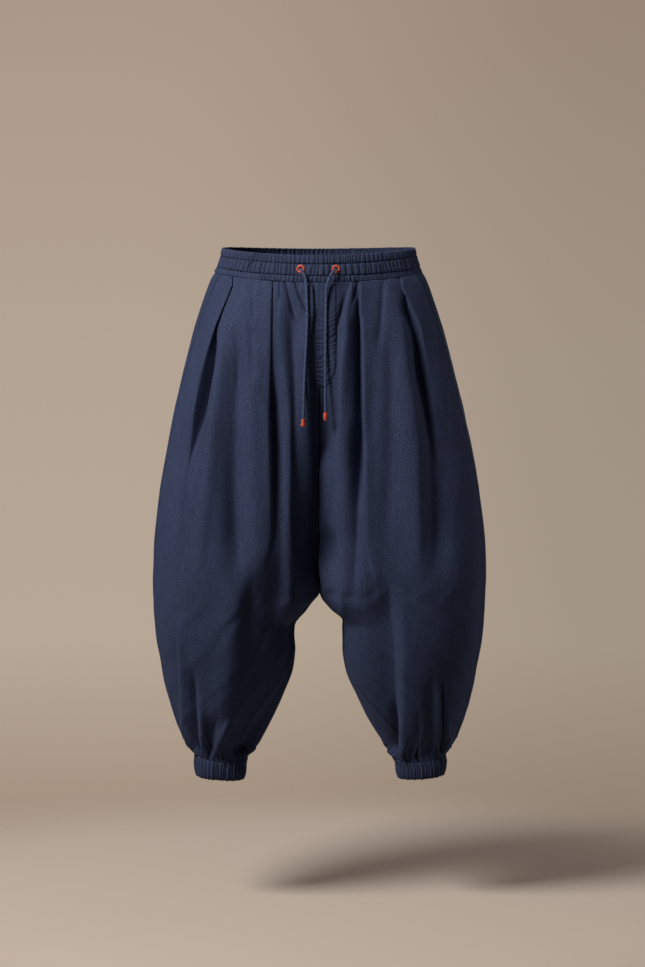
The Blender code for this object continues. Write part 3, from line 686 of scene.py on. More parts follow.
HEM_RIPPLES = (827.0, 843.0)
HEM_SEWN = 0.2
HEM_RIPPLE_WIDTH = 2.9
HEM_RIPPLE_LENGTH = 60.0
NOISE_SEEDS = {"swell": 1, "pucker": 11, "uneven": 21, "gather": 31, "ripple": 41, "fine": 51}
BLOUSE_DROPS = (590.0, 650.0, 700.0, 760.0, 812.0, 836.0, 848.0, 856.6)
SIDE_BLOUSE = (0.0, 2.0, 2.6, 3.8, 5.6, 8.0, 6.5, 0.6)
FRONT_BLOUSE = (0.0, 2.0, 2.6, 3.0, 2.0, -1.6, -2.2, 0.2)
WAIST_TRIM = {"left": 0.018, "right": 0.0}
WAIST_TRIMS = (330.0, 60.0)
INSEAM_EASE = {
    "left": (
        (575, 0), (585, -2), (596, -4), (608, 0.8), (620, 1.4), (632, 0.2), (655, -0.2),
        (681, -2.2), (707, -1.2), (759, 0.6), (786, 1.1), (812, 3.9), (829, 6.4), (843, 6.1),
        (853, 1), (856.6, 0)),
    "right": (
        (575, 0), (585, -0.5), (596, -3.6), (607, -5.2), (617, -2.6), (628, 3.4), (645, 4),
        (675, 0), (812, 0), (829, -0.2), (843, 1.2), (851, 3.4), (856.6, 0)),
}
INSEAM_EASE_REACH = 34.0
SIDE_EASE = {
    "left": (
        (660, 0), (707, -1.7), (759, -0.6), (812, 0.7), (829, -0.6), (843, -2.2), (856.6, 2.6)),
    "right": ((520, 0), (575, 1.5), (655, 1.6), (690, 0), (856.6, 0)),
}


def panel_noise(kind, panel, x, y):
    """One kind of smooth noise, from -1 to 1, which is different on each panel."""
    return value_noise(x, y, NOISE_SEEDS[kind] + sorted(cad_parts).index(panel))


def hem_ripple(panel, places, drop):
    """The fine puckers that the cuff's elastic makes, from -1 to 1."""
    return panel_noise("ripple", panel, places / HEM_RIPPLE_WIDTH, drop / HEM_RIPPLE_LENGTH)


def small_relief(panel, places, total, drop):
    """Swells, seam puckers and the gathers above the cuff, at places across a panel."""
    from_edge = np.minimum(places, total - places)
    inside = between(0.0, PUCKER_REACH, from_edge)
    swell = panel_noise("swell", panel, places / SWELL_WIDTH, drop / SWELL_LENGTH)
    pucker = panel_noise("pucker", panel, drop / PUCKER_LENGTH, places / PUCKER_WIDTH)
    uneven = HEM_GATHER_UNEVEN * panel_noise("uneven", panel, places / HEM_GATHER_UNEVEN_WIDTH, 0.0)
    gather = panel_noise("gather", panel, places / total * HEM_GATHER_COUNT + uneven, 0.0)
    fine_gather = panel_noise("fine", panel, places / WAIST_GATHER_WIDTH, drop / WAIST_GATHER_LENGTH)
    stitched = -SEAM_STITCH_DEPTH * bell(from_edge - SEAM_STITCH_PLACE, SEAM_STITCH_WIDTH)
    rolled = SEAM_ROLL * (1.0 - bell(from_edge, SEAM_ROLL_WIDTH)) * bell(from_edge, SEAM_ROLL_REACH)
    at_gathers = between(0.0, GATHER_STARTS, from_edge)
    sewn_down = mix(HEM_SEWN, 1.0, between(CUFF_DROP, HEM_RIPPLES[1], drop))
    gathered = between(*WAIST_GATHERED[panel], places) * at_gathers
    relief = SWELL_HEIGHT * swell * inside
    relief += PUCKER_HEIGHT * pucker * (1.0 - inside) * between(0.0, PUCKER_STARTS, from_edge)
    relief += HEM_GATHER * gather * between(*HEM_GATHERS, drop) * inside * sewn_down
    relief += (HEM_RIPPLE * hem_ripple(panel, places, drop) * between(*HEM_RIPPLES, drop)
               * at_gathers * sewn_down)
    relief += WAIST_GATHER * fine_gather * between(*WAIST_GATHERS, drop) * gathered
    return relief + stitched * panel.startswith(TOPSTITCHED) + rolled


def trim(x, z, side):
    """How far across a point lies once one side of the waist is trimmed to the real one's width."""
    return x * (1.0 - WAIST_TRIM[side] * between(*WAIST_TRIMS, -z))


def ease(x, side, drop):
    """How far across a point lies once its leg's edges are eased, as the two legs aren't alike."""
    inner = at_place(SECTIONS, SECTION_COLUMNS, drop)["inner_x"]
    near_inside = between(INSEAM_EASE_REACH, 0.0, x - inner)
    inside = through(*zip(*INSEAM_EASE[side]), drop)
    outside = through(*zip(*SIDE_EASE[side]), drop)
    return x + mix(outside, inside, near_inside)


def sag(x, y, drop):
    """How much lower than its drop a point lies, along the dipped waist seam and tilted cuffs."""
    round_waist = np.clip(np.abs(y) / WAIST_HALF_DEPTH, 0.0, 1.0) ** 2
    at_waist = WAIST_SEAM_DIP * round_waist * between(*WAIST_DIP_FADES, drop)
    round_cuff = np.clip(np.abs(y) / CUFF_HALF_DEPTH, 0.0, 1.0) ** 2
    at_cuff = CUFF_DIP * round_cuff * between(*CUFF_DIPS, drop)
    return at_waist + at_cuff + CUFF_TILT * (CUFF_X - x) * between(*CUFF_TILTS, drop)


print("swells of", SWELL_HEIGHT, "mm and cuff gathers of", HEM_GATHER, "mm")

# %% [markdown]
# A panel's skin is now a matter of rows: at each drop the section, the pleats, the folds and the
# small relief give a line of points, and the lines stacked up give the panel. Rows lie closer
# together near the waist and the cuff, where the gathers are fine. The cloth is 1.2 mm thick, so
# the wall goes 0.6 mm to each side of that surface.

# %% Leg panels
TANGENT_STEP = 1.5
HEM_SHADE = 0.85
HEM_SHADED = (-0.1, -0.8)
THINNEST_ROW = 0.5
ROW_STEPS = ((17.7, 1.5), (45.0, 2.6), (110.0, 4.4), (740.0, 4.4), (800.0, 3.0), (856.6, 1.6))
FINER = {"front": 7, "back": 5}
COARSER_ROWS = {"front": 1.0, "back": 1.25}


def panel_drops(face):
    """The drops of a panel's rows."""
    drops = [WAIST_SEAM_DROP]
    while drops[-1] < CUFF_DROP:
        step = np.interp(drops[-1], *zip(*ROW_STEPS)) * COARSER_ROWS[face]
        drops.append(min(drops[-1] + step, CUFF_DROP))
    if drops[-1] - drops[-2] < THINNEST_ROW:
        drops.pop(-2)
    return drops


def panel_row(panel, drop):
    """One row of a panel's middle surface, where x is positive."""
    face, side = panel.split("_")
    curve = panel_curve(face, drop)
    along = lengths_along(curve)
    places, heights = panel_columns(panel, drop, curve, along, FINER[face])
    x, y = at_lengths(curve, along, places).T
    ahead, behind = (at_lengths(curve, along, places + step) for step in (TANGENT_STEP, -TANGENT_STEP))
    run = ahead - behind
    out = unit(paired(run[:, 1], -run[:, 0])) * (1.0 if face == "front" else -1.0)
    from_edge = np.minimum(places, along[-1] - places)
    heights = heights + fold_height(side, x, y, drop) + small_relief(panel, places, along[-1], drop)
    blouse = (through(BLOUSE_DROPS, table, drop) for table in (FRONT_BLOUSE, SIDE_BLOUSE))
    heights = heights + mix(*blouse, out[:, 0] ** 2)
    # Painted shade: darker along the seams, in narrow creases and between the puckers above the cuff.
    painted_pucker_shade = between(*HEM_SHADED, hem_ripple(panel, places, drop)) * between(*HEM_RIPPLES, drop)
    shade = np.maximum(bell(from_edge, SEAM_SHADE_WIDTH), crease_shade(side, x, y, drop))
    shade = np.maximum(shade, HEM_SHADE * painted_pucker_shade)
    x = x + out[:, 0] * heights
    y = y + out[:, 1] * heights
    across = ease(trim(x, -drop, side), side, drop)
    return paired(across, y, -drop - sag(x, y, drop), shade)


def directions(grid, axis):
    """The mean direction of the two steps at each point of a grid, along one of its axes."""
    steps = unit(np.diff(grid, axis=axis))
    ends = [np.take(steps, [k], axis=axis) for k in (0, -1)]
    return np.concatenate([ends[0], steps], axis=axis) + np.concatenate([steps, ends[1]], axis=axis)


def grid_normals(grid):
    """Directions square to a grid of points, level along its first and last rows."""
    down = directions(grid, 0)
    down[[0, -1]] = (0.0, 0.0, -1.0)
    return unit(np.cross(directions(grid, 1), down))


def cloth_uv(grid):
    """Places on the flat cloth: across from the middle column, and down along it."""
    steps = np.linalg.norm(np.diff(grid, axis=1), axis=2)
    across = np.pad(np.cumsum(steps, axis=1), ((0, 0), (1, 0)))
    middle = grid.shape[1] // 2
    down = lengths_along(grid[:, middle])
    return paired(across - across[:, middle:middle + 1], -down[:, None])


def there_and_back(outer, inner):
    """Columns that run over a wall's outside and back along its inside."""
    return np.concatenate([outer, inner[:, ::-1]], axis=1)


def make_wall(node, outer, inner, uv, shade):
    """A cloth wall between two grids of points, with one flat place and one painted shade for both."""
    points, shade = there_and_back(outer, inner), there_and_back(shade, shade)
    uv = np.concatenate([there_and_back(uv, uv), uv[:, :1]], axis=1)
    return make_skin(node, "cloth", points, uv, shade, ring=False)


def panel_surface(panel):
    """The middle surface of a panel, its outward directions and its painted shade."""
    face, side = panel.split("_")
    rows = np.stack([panel_row(panel, drop) for drop in panel_drops(face)])
    grid, shade = rows[..., :3], rows[..., 3]
    grid[0, :, 2] -= SEAM_GAP
    grid[-1, :, 2] += SEAM_GAP
    out = grid_normals(grid) * (1.0 if face == "back" else -1.0)
    turn = np.array([SIDES[side], 1.0, 1.0])
    return grid * turn, out * turn, shade


surfaces = {}
panels = {}
for face in ("front", "back"):
    for side in SIDES:
        node = f"{face}_{side}"
        grid, out, shade = surfaces[node] = panel_surface(node)
        skins = grid + out * CLOTH / 2.0, grid - out * CLOTH / 2.0
        panels[node] = make_wall(node, *skins, cloth_uv(grid), shade)
        print(node, "rows and columns:", grid.shape[:2])

# %% [markdown]
# The waistband is a folded casing drawn in by elastic: a narrow ruffle on top, the channel that
# holds the drawcord, and a narrow channel over the seam, parted by two lines of stitching. The
# elastic crowds the cloth into small upright folds with sharp troughs between round crowns. They
# have to share one wall and change from channel to channel, so they are worked out as heights
# round an oval, each trough at its own uneven place.

# %% Waistband
BAND_CLOTH = 3.0
BAND_COLUMNS = ("row", "side_z", "front_z", "half_width", "half_depth")
BAND_ROWS = (
    (0, 24, 17.5, 165.8, 113.6),
    (1, 17.5, 11, 167.6, 115.2),
    (2, 11, 2.4, 168.8, 116.4),
    (3, 6.5, -2.6, 169.3, 117.8),
    (4, -3.5, -12, 172.8, 119.2),
    (5, -8, -17.2, 174.8, 119.6),
    (6, -12.8, -22.9, 177.3, 120.3),
    (7, -17.4, -28.3, 179.2, 120.6),
)
CORD_ROW = named(BAND_COLUMNS, BAND_ROWS[4])
BAND_AROUND = 1000
BAND_DOWN = 34
BAND_MEASURED_ROW = 20
INSIDE_SLACK = 0.8
INSIDE_RIBS = 0.9
INSIDE_RIBS_TO = 1.6
CROWN_WIDTHS = (0.55, 1.45)
CROWN_HEIGHTS = (0.6, 1.0)
CROWN_ROUNDNESS = 0.6
CROWN_MIDDLE = 0.5
STITCH_ROWS = (2.0, 5.0)
STITCH_GROOVE = 1.5
STITCH_GROOVE_WIDTH = 0.12
RIB_FLOOR = 0.62
# Painted shade in the rib troughs, the stitch grooves and the pinches.
RIB_SHADES = (0.56, 0.14)
RIB_PAINTED_SHADE = 0.92
DENT_PAINTED_SHADE = 0.35
CHANNELS = (
    {"top": 0.0, "bottom": 2.0, "folds": 160, "height": 2.3, "slant": 0.004},
    {"top": 2.0, "bottom": 5.0, "folds": 116, "height": 3.0, "slant": 0.02},
    {"top": 5.0, "bottom": 7.0, "folds": 166, "height": 2.6, "slant": 0.008},
)
SWINGS_ROUND = 6.0
QUIET_GATHERS = 0.2
QUIET_PATCHES = (-0.3, 0.2)
QUIET_PATCHES_ROUND = 2.0
SWING_SEED, CROWN_SEED, PATCH_SEED, CUFF_SEED, FLY_SEED = 50, 60, 70, 80, 90
LOWER_GATHERED = ((-102.0, -92.0), (68.0, 58.0))
EYELET_QUIET = (5.5, 12.0)
FAR = 400.0
PINCHES = (
    {"x_top": -113.5, "x_bottom": -123.5, "top": 1.7, "bottom": 4.3, "width": 1.3, "depth": 2.6},
    {"x_top": -112.6, "x_bottom": -112.9, "top": 0.0, "bottom": 1.7, "width": 1.1, "depth": 1.6},
    {"x_top": 107.0, "x_bottom": 107.6, "top": 2.4, "bottom": 6.2, "width": 1.0, "depth": 2.2},
    {"x_top": -97.5, "x_bottom": -97.0, "top": 4.6, "bottom": 7.0, "width": 1.2, "depth": 2.0},
)
RIM_SCALLOP = 1.1
EYELET_PLACES = {"left": 27.7, "right": -32.0}
EYELET_HEIGHT = -5.6
EYELET_HOLE = 4.4


def crowns(angle, folds, seed):
    """Round crowns from 0 to 1 with sharp troughs between them, at uneven places round a ring."""
    random = np.random.default_rng(seed)
    widths = random.uniform(*CROWN_WIDTHS, folds)
    edges = np.concatenate([[0.0], np.cumsum(widths) / widths.sum()]) * 2.0 * math.pi
    place = angle % (2.0 * math.pi)
    i = np.clip(np.searchsorted(edges, place, side="right") - 1, 0, folds - 1)
    t = (place - edges[i]) / (edges[i + 1] - edges[i])
    height = np.sqrt(widths[i]) * random.uniform(*CROWN_HEIGHTS, folds)[i]
    return height * (4.0 * t * (1.0 - t)) ** CROWN_ROUNDNESS


def band_quiet(angle, channel):
    """How strongly a channel is gathered: less beside the eyelets and in its smooth parts."""
    x, ahead = CORD_ROW["half_width"] * np.cos(angle), np.sin(angle) > 0.0
    gathered = np.ones_like(angle)
    if channel == 1:
        near = np.min([np.abs(x - place) for place in EYELET_PLACES.values()], axis=0) + FAR * ~ahead
        gathered = between(*EYELET_QUIET, near)
    if channel == 2:
        beside = between(*LOWER_GATHERED[0], x) * between(*LOWER_GATHERED[1], x)
        patches = value_noise(angle * QUIET_PATCHES_ROUND, 0.0, PATCH_SEED)
        gathered = np.where(ahead, beside, between(*QUIET_PATCHES, patches))
    return mix(QUIET_GATHERS, 1.0, gathered)


def pinched(angle, row):
    """How deep the waistband's few pinches and its joint lie at angles, at one row."""
    total = np.zeros_like(angle)
    x = CORD_ROW["half_width"] * np.cos(angle)
    for pinch in PINCHES:
        share = (row - pinch["top"]) / (pinch["bottom"] - pinch["top"])
        if 0.0 < share < 1.0:
            centre = mix(pinch["x_top"], pinch["x_bottom"], share)
            groove = bell(x - centre, pinch["width"]) * (np.sin(angle) > 0.0)
            total = np.maximum(total, pinch["depth"] * groove * math.sin(math.pi * share) ** 0.5)
    return total


def band_height(angle, row):
    """How far the gathers stand out of the waistband at one row, and the painted shade between them."""
    total, shade = np.zeros_like(angle), np.zeros_like(angle)
    for k, channel in enumerate(CHANNELS):
        if not channel["top"] <= row <= channel["bottom"]:
            continue
        share = (row - channel["top"]) / (channel["bottom"] - channel["top"])
        swing = value_noise(angle * SWINGS_ROUND, 0.0, SWING_SEED + k) * channel["slant"] * (share - 0.5)
        pressed = mix(RIB_FLOOR, 1.0, max(math.sin(math.pi * share), 0.0) ** 0.5)
        ribs = crowns(angle + swing, channel["folds"], CROWN_SEED + k)
        quiet = band_quiet(angle, k)
        total = np.maximum(total, channel["height"] * pressed * ribs * quiet)
        shade = np.maximum(shade, between(*RIB_SHADES, ribs) * between(QUIET_GATHERS, 1.0, quiet))
    return total, shade


def band_surface():
    """The waistband's outer surface, its inner one and the painted shade in its gathers and grooves."""
    angle = round_turn(BAND_AROUND)
    side, front = np.cos(angle), -np.sin(angle)
    beside = [line + step * STITCH_GROOVE_WIDTH for line in STITCH_ROWS for step in (-1.0, 0.0, 1.0)]
    rows = np.unique(np.concatenate([np.linspace(0.0, BAND_ROWS[-1][0], BAND_DOWN), beside]))
    outer, inner, depth = [], [], []
    for row in rows:
        cut = at_place(BAND_ROWS, BAND_COLUMNS, row)
        rim = max(0.0, 1.0 - row) * (crowns(angle, CHANNELS[0]["folds"], CROWN_SEED) - CROWN_MIDDLE)
        z = mix(cut["side_z"], cut["front_z"], front**2) + RIM_SCALLOP * rim
        groove = sum(bell(row - line, STITCH_GROOVE_WIDTH) for line in STITCH_ROWS)
        ribs, shade = band_height(angle, row)
        dents = STITCH_GROOVE * groove + pinched(angle, row)
        ribs_inside, _ = band_height(angle, min(row, INSIDE_RIBS_TO))
        within = INSIDE_RIBS * ribs_inside - BAND_CLOTH - INSIDE_SLACK
        trims = np.where(side > 0.0, trim(1.0, z, "left"), trim(1.0, z, "right"))
        for ring, out in ((outer, ribs - dents), (inner, within)):
            x = (cut["half_width"] + out) * side * trims
            ring.append(paired(x, (cut["half_depth"] + out) * front, z))
        # Painted shade: darker in rib troughs, stitch grooves and pinches.
        depth.append(np.clip(RIB_PAINTED_SHADE * shade + DENT_PAINTED_SHADE * dents, 0.0, 1.0))
    return rows, *(np.stack(part, axis=1) for part in (outer, inner, depth))


def make_casing(node, outer, inner, depth, measured):
    """A casing's skin from its two surfaces; its flat length is measured along one of its rows."""
    around = lengths_along(np.concatenate([outer[:, measured], outer[:1, measured]]))
    down = lengths_along(outer[0])
    down = np.concatenate([down, down[::-1] + down[-1], [down[0]]])
    points, depth = there_and_back(outer, inner), there_and_back(depth, depth)
    print(node, "round its gathers, mm:", round(around[-1]))
    return make_skin(node, "cloth", points, paired(around[:, None], -down), depth, ring=True)


band_places, band_outer, *band_rest = band_surface()
waistband = make_casing("waistband", band_outer, *band_rest, BAND_MEASURED_ROW)

# %% [markdown]
# The cuffs are the same kind of gathered casing, over a wide elastic, and tilt a little so that
# their inner side hangs lower.

# %% Cuffs
CUFF_COLUMNS = ("share", "half_width", "half_depth")
CUFF_ROWS = (
    (0.0, 45.4, 45.6),
    (0.2, 45.9, 45.8),
    (0.75, 44.9, 44.4),
    (1.0, 42.4, 41.4),
)
CUFF_CENTRES = {"left": 176.4, "right": 172.8}
CUFF_TOPS = {side: CUFF_X + SIDE_EASE[side][-1][1] / 2.0 for side in SIDES}
CUFF_TIGHTER = {"left": 3.0, "right": 1.5}
CUFF_LENGTHS = {"left": 37.6, "right": 39.5}
CUFF_AROUND = 500
CUFF_DOWN = 18
CUFF_MEASURED_ROW = 8
CUFF_FOLDS = 50
CUFF_RIB = 3.4
CUFF_RIB_SUNK = 0.5
CUFF_INSIDE_RIBS = 0.4
CUFF_PRESSED = (0.12, 0.88)
CUFF_PRESS_ROUNDNESS = 0.4
# Painted shade between the cuff's ribs.
CUFF_SHADES = (0.62, 0.25)
CUFF_SCALLOP = 1.6
CUFF_SCALLOP_FROM = 0.75
CUFF_SCALLOP_MIDDLE = 0.6
CUFF_SWING = 0.02
CUFF_SWINGS_ROUND = 5.0
CUFF_TIGHT_BY = 0.3
CUFF_CENTRED_BY = 0.4


def cuff_surface(side, seed):
    """A cuff's outer surface, its inner one and the painted shade between its ribs."""
    angle = round_turn(CUFF_AROUND)
    outer, inner, depth = [], [], []
    for share in np.linspace(0.0, 1.0, CUFF_DOWN):
        cut = at_place(CUFF_ROWS, CUFF_COLUMNS, share)
        swing = CUFF_SWING * (share - 0.5) * value_noise(angle * CUFF_SWINGS_ROUND, 0.0, seed)
        ribs = crowns(angle + swing, CUFF_FOLDS, seed + 2)
        pressed = math.sin(math.pi * mix(*CUFF_PRESSED, share)) ** CUFF_PRESS_ROUNDNESS
        height = CUFF_RIB * pressed * ribs - CUFF_RIB_SUNK
        tighter = CUFF_TIGHTER[side] * between(0.0, CUFF_TIGHT_BY, share)
        centre = mix(CUFF_TOPS[side], CUFF_CENTRES[side], between(0.0, CUFF_CENTRED_BY, share))
        at_hem = max(0.0, share - CUFF_SCALLOP_FROM) / (1.0 - CUFF_SCALLOP_FROM)
        scallop = CUFF_SCALLOP * at_hem * (ribs - CUFF_SCALLOP_MIDDLE)
        dip = CUFF_DIP * (1.0 - share) * np.sin(angle) ** 2
        for ring, out in ((outer, height), (inner, CUFF_INSIDE_RIBS * height - BAND_CLOTH)):
            away = (cut["half_width"] + out - tighter) * np.cos(angle)
            z = -CUFF_DROP - share * CUFF_LENGTHS[side] + CUFF_TILT * away - dip - scallop
            y = (cut["half_depth"] + out) * np.sin(angle)
            ring.append(paired(SIDES[side] * (centre + away), y, z))
        depth.append(between(*CUFF_SHADES, ribs))
    return [np.stack(part, axis=1) for part in (outer, inner, depth)]


cuff_surfaces = {side: cuff_surface(side, CUFF_SEED + number) for number, side in enumerate(SIDES)}
cuffs = {side: make_casing(f"cuff_{side}", *cuff_surfaces[side], CUFF_MEASURED_ROW) for side in SIDES}

# %% [markdown]
# The mock fly is a strip sewn flat beside the centre seam. Two rows of stitching draw it into
# fine slanted puckers. It is laid on the skins of the front panels by casting a ray back from in
# front at each of its points, and then rippled.

# %% Mock fly
FLY_LEFT_X = 28.5
FLY_RIGHT_X = -8.0
FLY_TOP = 30.0
FLY_BOTTOM = 207.0
FLY_CURVE = 46.0
FLY_END = 9.0
FLY_CLOTH = 1.0
FLY_ROWS = 170
FLY_COLUMNS = 44
FLY_LIFT = 0.12
FLY_RIM = 0.2
FLY_RIM_WIDTH = 4.5
FLY_PUCKER = 0.85
FLY_PUCKER_PITCH = 8.5
FLY_PUCKER_SLANT = 0.75
FLY_SLANTS_FROM = 8.0
FLY_PUCKER_UNEVEN = 0.7
FLY_UNEVEN_SIZE = (9.0, 16.0)
FLY_STRENGTH = 0.55
FLY_STRENGTH_SWING = 0.45
FLY_STRONG_SIZE = (6.0, 9.0)
FLY_PUCKERS_GROW = (-70.0, -112.0)
FLY_PUCKER_TOP = 0.3
FLY_PUCKERS_START = 2.4
FLY_STITCH_PLACE = 3.4
FLY_STITCH_DEPTH = 0.35
FLY_STITCH_WIDTH = 0.8
FLY_SMOOTHINGS = 6
IN_FRONT = 300.0
SEAM_CLEAR = 0.6


def trees_of(*pieces):
    """What a ray can be cast at, for each piece."""
    bpy.context.view_layer.update()
    graph = bpy.context.evaluated_depsgraph_get()
    return [BVHTree.FromObject(piece, graph) for piece in pieces]


def depth_in_front(trees, x, z):
    """How far forward the cloth lies at a place seen from the front, clear of the seam's gap."""
    x = math.copysign(max(abs(x), SEAM_CLEAR), x)
    start = Vector((x, -IN_FRONT, z)) * MM
    hits = [tree.ray_cast(start, Vector((0.0, 1.0, 0.0)))[0] for tree in trees]
    return min(hit.y / MM for hit in hits if hit is not None)


def fly_reach(z):
    """How far the strip reaches to its outer side at a height."""
    low = max(0.0, (-z - (FLY_BOTTOM - FLY_CURVE)) / FLY_CURVE)
    return FLY_END + (FLY_LEFT_X - FLY_RIGHT_X - FLY_END) * math.sqrt(max(0.0, 1.0 - low**2))


def fly_puckers(x, z):
    """Fine puckers, level beside the centre and slanted outside the cord, from -1 to 1."""
    outside = np.clip(x - FLY_SLANTS_FROM, 0.0, None)
    across = (z - FLY_PUCKER_SLANT * outside) / FLY_PUCKER_PITCH
    wide, high = FLY_UNEVEN_SIZE
    uneven = FLY_PUCKER_UNEVEN * value_noise(x / wide, z / high, FLY_SEED)
    ripple = np.sin(2.0 * math.pi * (across + uneven))
    wide, high = FLY_STRONG_SIZE
    strong = FLY_STRENGTH + FLY_STRENGTH_SWING * value_noise(x / wide, z / high, FLY_SEED + 1)
    return ripple * strong * mix(FLY_PUCKER_TOP, 1.0, between(*FLY_PUCKERS_GROW, z))


front_trees = trees_of(panels["front_left"], panels["front_right"])
rows, edges = [], []
for z in np.linspace(-FLY_TOP, -FLY_BOTTOM, FLY_ROWS):
    reach = fly_reach(z)
    places = np.linspace(FLY_RIGHT_X, FLY_RIGHT_X + reach, FLY_COLUMNS)
    rows.append([(x, depth_in_front(front_trees, x, z), z) for x in places])
    edges.append(np.minimum(places - FLY_RIGHT_X, FLY_RIGHT_X + reach - places))
fly_grid = np.array(rows)
for _ in range(FLY_SMOOTHINGS):
    beside = (fly_grid[:, :-2, 1] + fly_grid[:, 2:, 1]) / 2.0
    fly_grid[:, 1:-1, 1] = np.minimum(fly_grid[:, 1:-1, 1], beside)
fly_out = -grid_normals(fly_grid)
from_edge = np.minimum(np.array(edges), (fly_grid[..., 2] + FLY_BOTTOM))
thick = mix(FLY_RIM, FLY_CLOTH, between(0.0, FLY_RIM_WIDTH, from_edge))
lift = FLY_PUCKER * (1.0 + fly_puckers(fly_grid[..., 0], fly_grid[..., 2]))
lift *= between(0.0, FLY_PUCKERS_START, from_edge)
lift -= FLY_STITCH_DEPTH * bell(from_edge - FLY_STITCH_PLACE, FLY_STITCH_WIDTH)
low = fly_grid + fly_out * FLY_LIFT
high = fly_grid + fly_out * (FLY_LIFT + thick + np.clip(lift, 0.0, None))[..., None]
fly = make_wall("fly", high, low, cloth_uv(fly_grid), np.zeros(high.shape[:2]))
print("fly, mm:", FLY_LEFT_X - FLY_RIGHT_X, "by", FLY_BOTTOM - FLY_TOP)

# %% [markdown]
# Materials start here. Colours are written as the sRGB hex codes that an eye would name, and one
# function turns them into the linear values that the shader adds up. One more adds a node with
# its settings, its values and its links, so that each material reads as a short list. What is
# mixed from two tones, such as a coat or a thread, is mottled by a third.


# %% Colours and nodes
MIX_FACTOR, MIX_A, MIX_B, MIX_COLOUR = 0, 6, 7, 2


def linear(code):
    """A linear colour with alpha, from an sRGB hex code."""
    parts = [int(code[k:k + 2], 16) / 255.0 for k in (0, 2, 4)]
    return (*(c / 12.92 if c <= 0.04045 else ((c + 0.055) / 1.055) ** 2.4 for c in parts), 1.0)


def add_node(tree, kind, inputs=None, **settings):
    """Adds a node with its settings; an input takes a value, or a socket to link from."""
    node = tree.nodes.new(kind)
    for name, value in settings.items():
        setattr(node, name, value)
    for socket, value in (inputs or {}).items():
        if isinstance(value, bpy.types.NodeSocket):
            tree.links.new(value, node.inputs[socket])
        else:
            node.inputs[socket].default_value = value
    return node


def new_material(name, **values):
    """A material with one Principled shader, and its node tree and shader."""
    material = bpy.data.materials.new(name)
    material.use_nodes = True
    shader = material.node_tree.nodes["Principled BSDF"]
    for socket, value in values.items():
        shader.inputs[socket.replace("_", " ")].default_value = value
    return material, material.node_tree, shader


def mottle(tree, shader, grain, detail, dark, light):
    """Colours a surface between two tones, by soft noise with grains so wide in millimetres."""
    where = add_node(tree, "ShaderNodeTexCoord").outputs["Object"]
    noise = add_node(
        tree, "ShaderNodeTexNoise", {"Vector": where, "Scale": 1.0 / (grain * MM), "Detail": detail})
    inputs = {MIX_FACTOR: noise.outputs["Fac"], MIX_A: linear(dark), MIX_B: linear(light)}
    tint = add_node(tree, "ShaderNodeMix", inputs, data_type="RGBA")
    tree.links.new(tint.outputs[MIX_COLOUR], shader.inputs["Base Color"])


print("mid navy, linear:", [round(v, 3) for v in linear("3a4160")[:3]])

# %% [markdown]
# The cloth is a navy linen-like crepe: plain woven from uneven yarn, washed and not pressed. The
# uneven yarn leaves faint upright slubs, the crepe twist a pebbled surface, and the washing a
# soft, dry sheen on the ridges. Its threads are 0.6 mm apart, too fine to show at this distance,
# so the pebble is drawn 2.1 mm wide. Deep in gathers, creases and seams the cloth gets painted
# shade. The cord is braided from cotton with the same dry finish, a little paler, with painted
# shade where its strands dive under each other.

# %% Navy linen crepe
PEBBLE_SIZE = (2.1, 2.73)
SLUB_SIZE = (2.6, 34.0)
FADE_SIZE = (90.0, 180.0)
PEBBLE_SHARE, SLUB_SHARE, FADE_SHARE = 0.65, 0.2, 0.15
GRAIN_SPREAD = (0.36, 0.64)
WEAVE_RELIEF = 0.5


def weave_noise(tree, uv, width, length, detail):
    """Noise on the flat cloth whose grains are so wide and long, in millimetres."""
    scale = (1.0 / (width * MM), 1.0 / (length * MM), 1.0)
    scaled = add_node(tree, "ShaderNodeMapping", {"Vector": uv, "Scale": scale})
    return add_node(
        tree, "ShaderNodeTexNoise",
        {"Vector": scaled.outputs[0], "Scale": 1.0, "Detail": detail, "Roughness": 0.6},
        noise_dimensions="2D").outputs["Fac"]


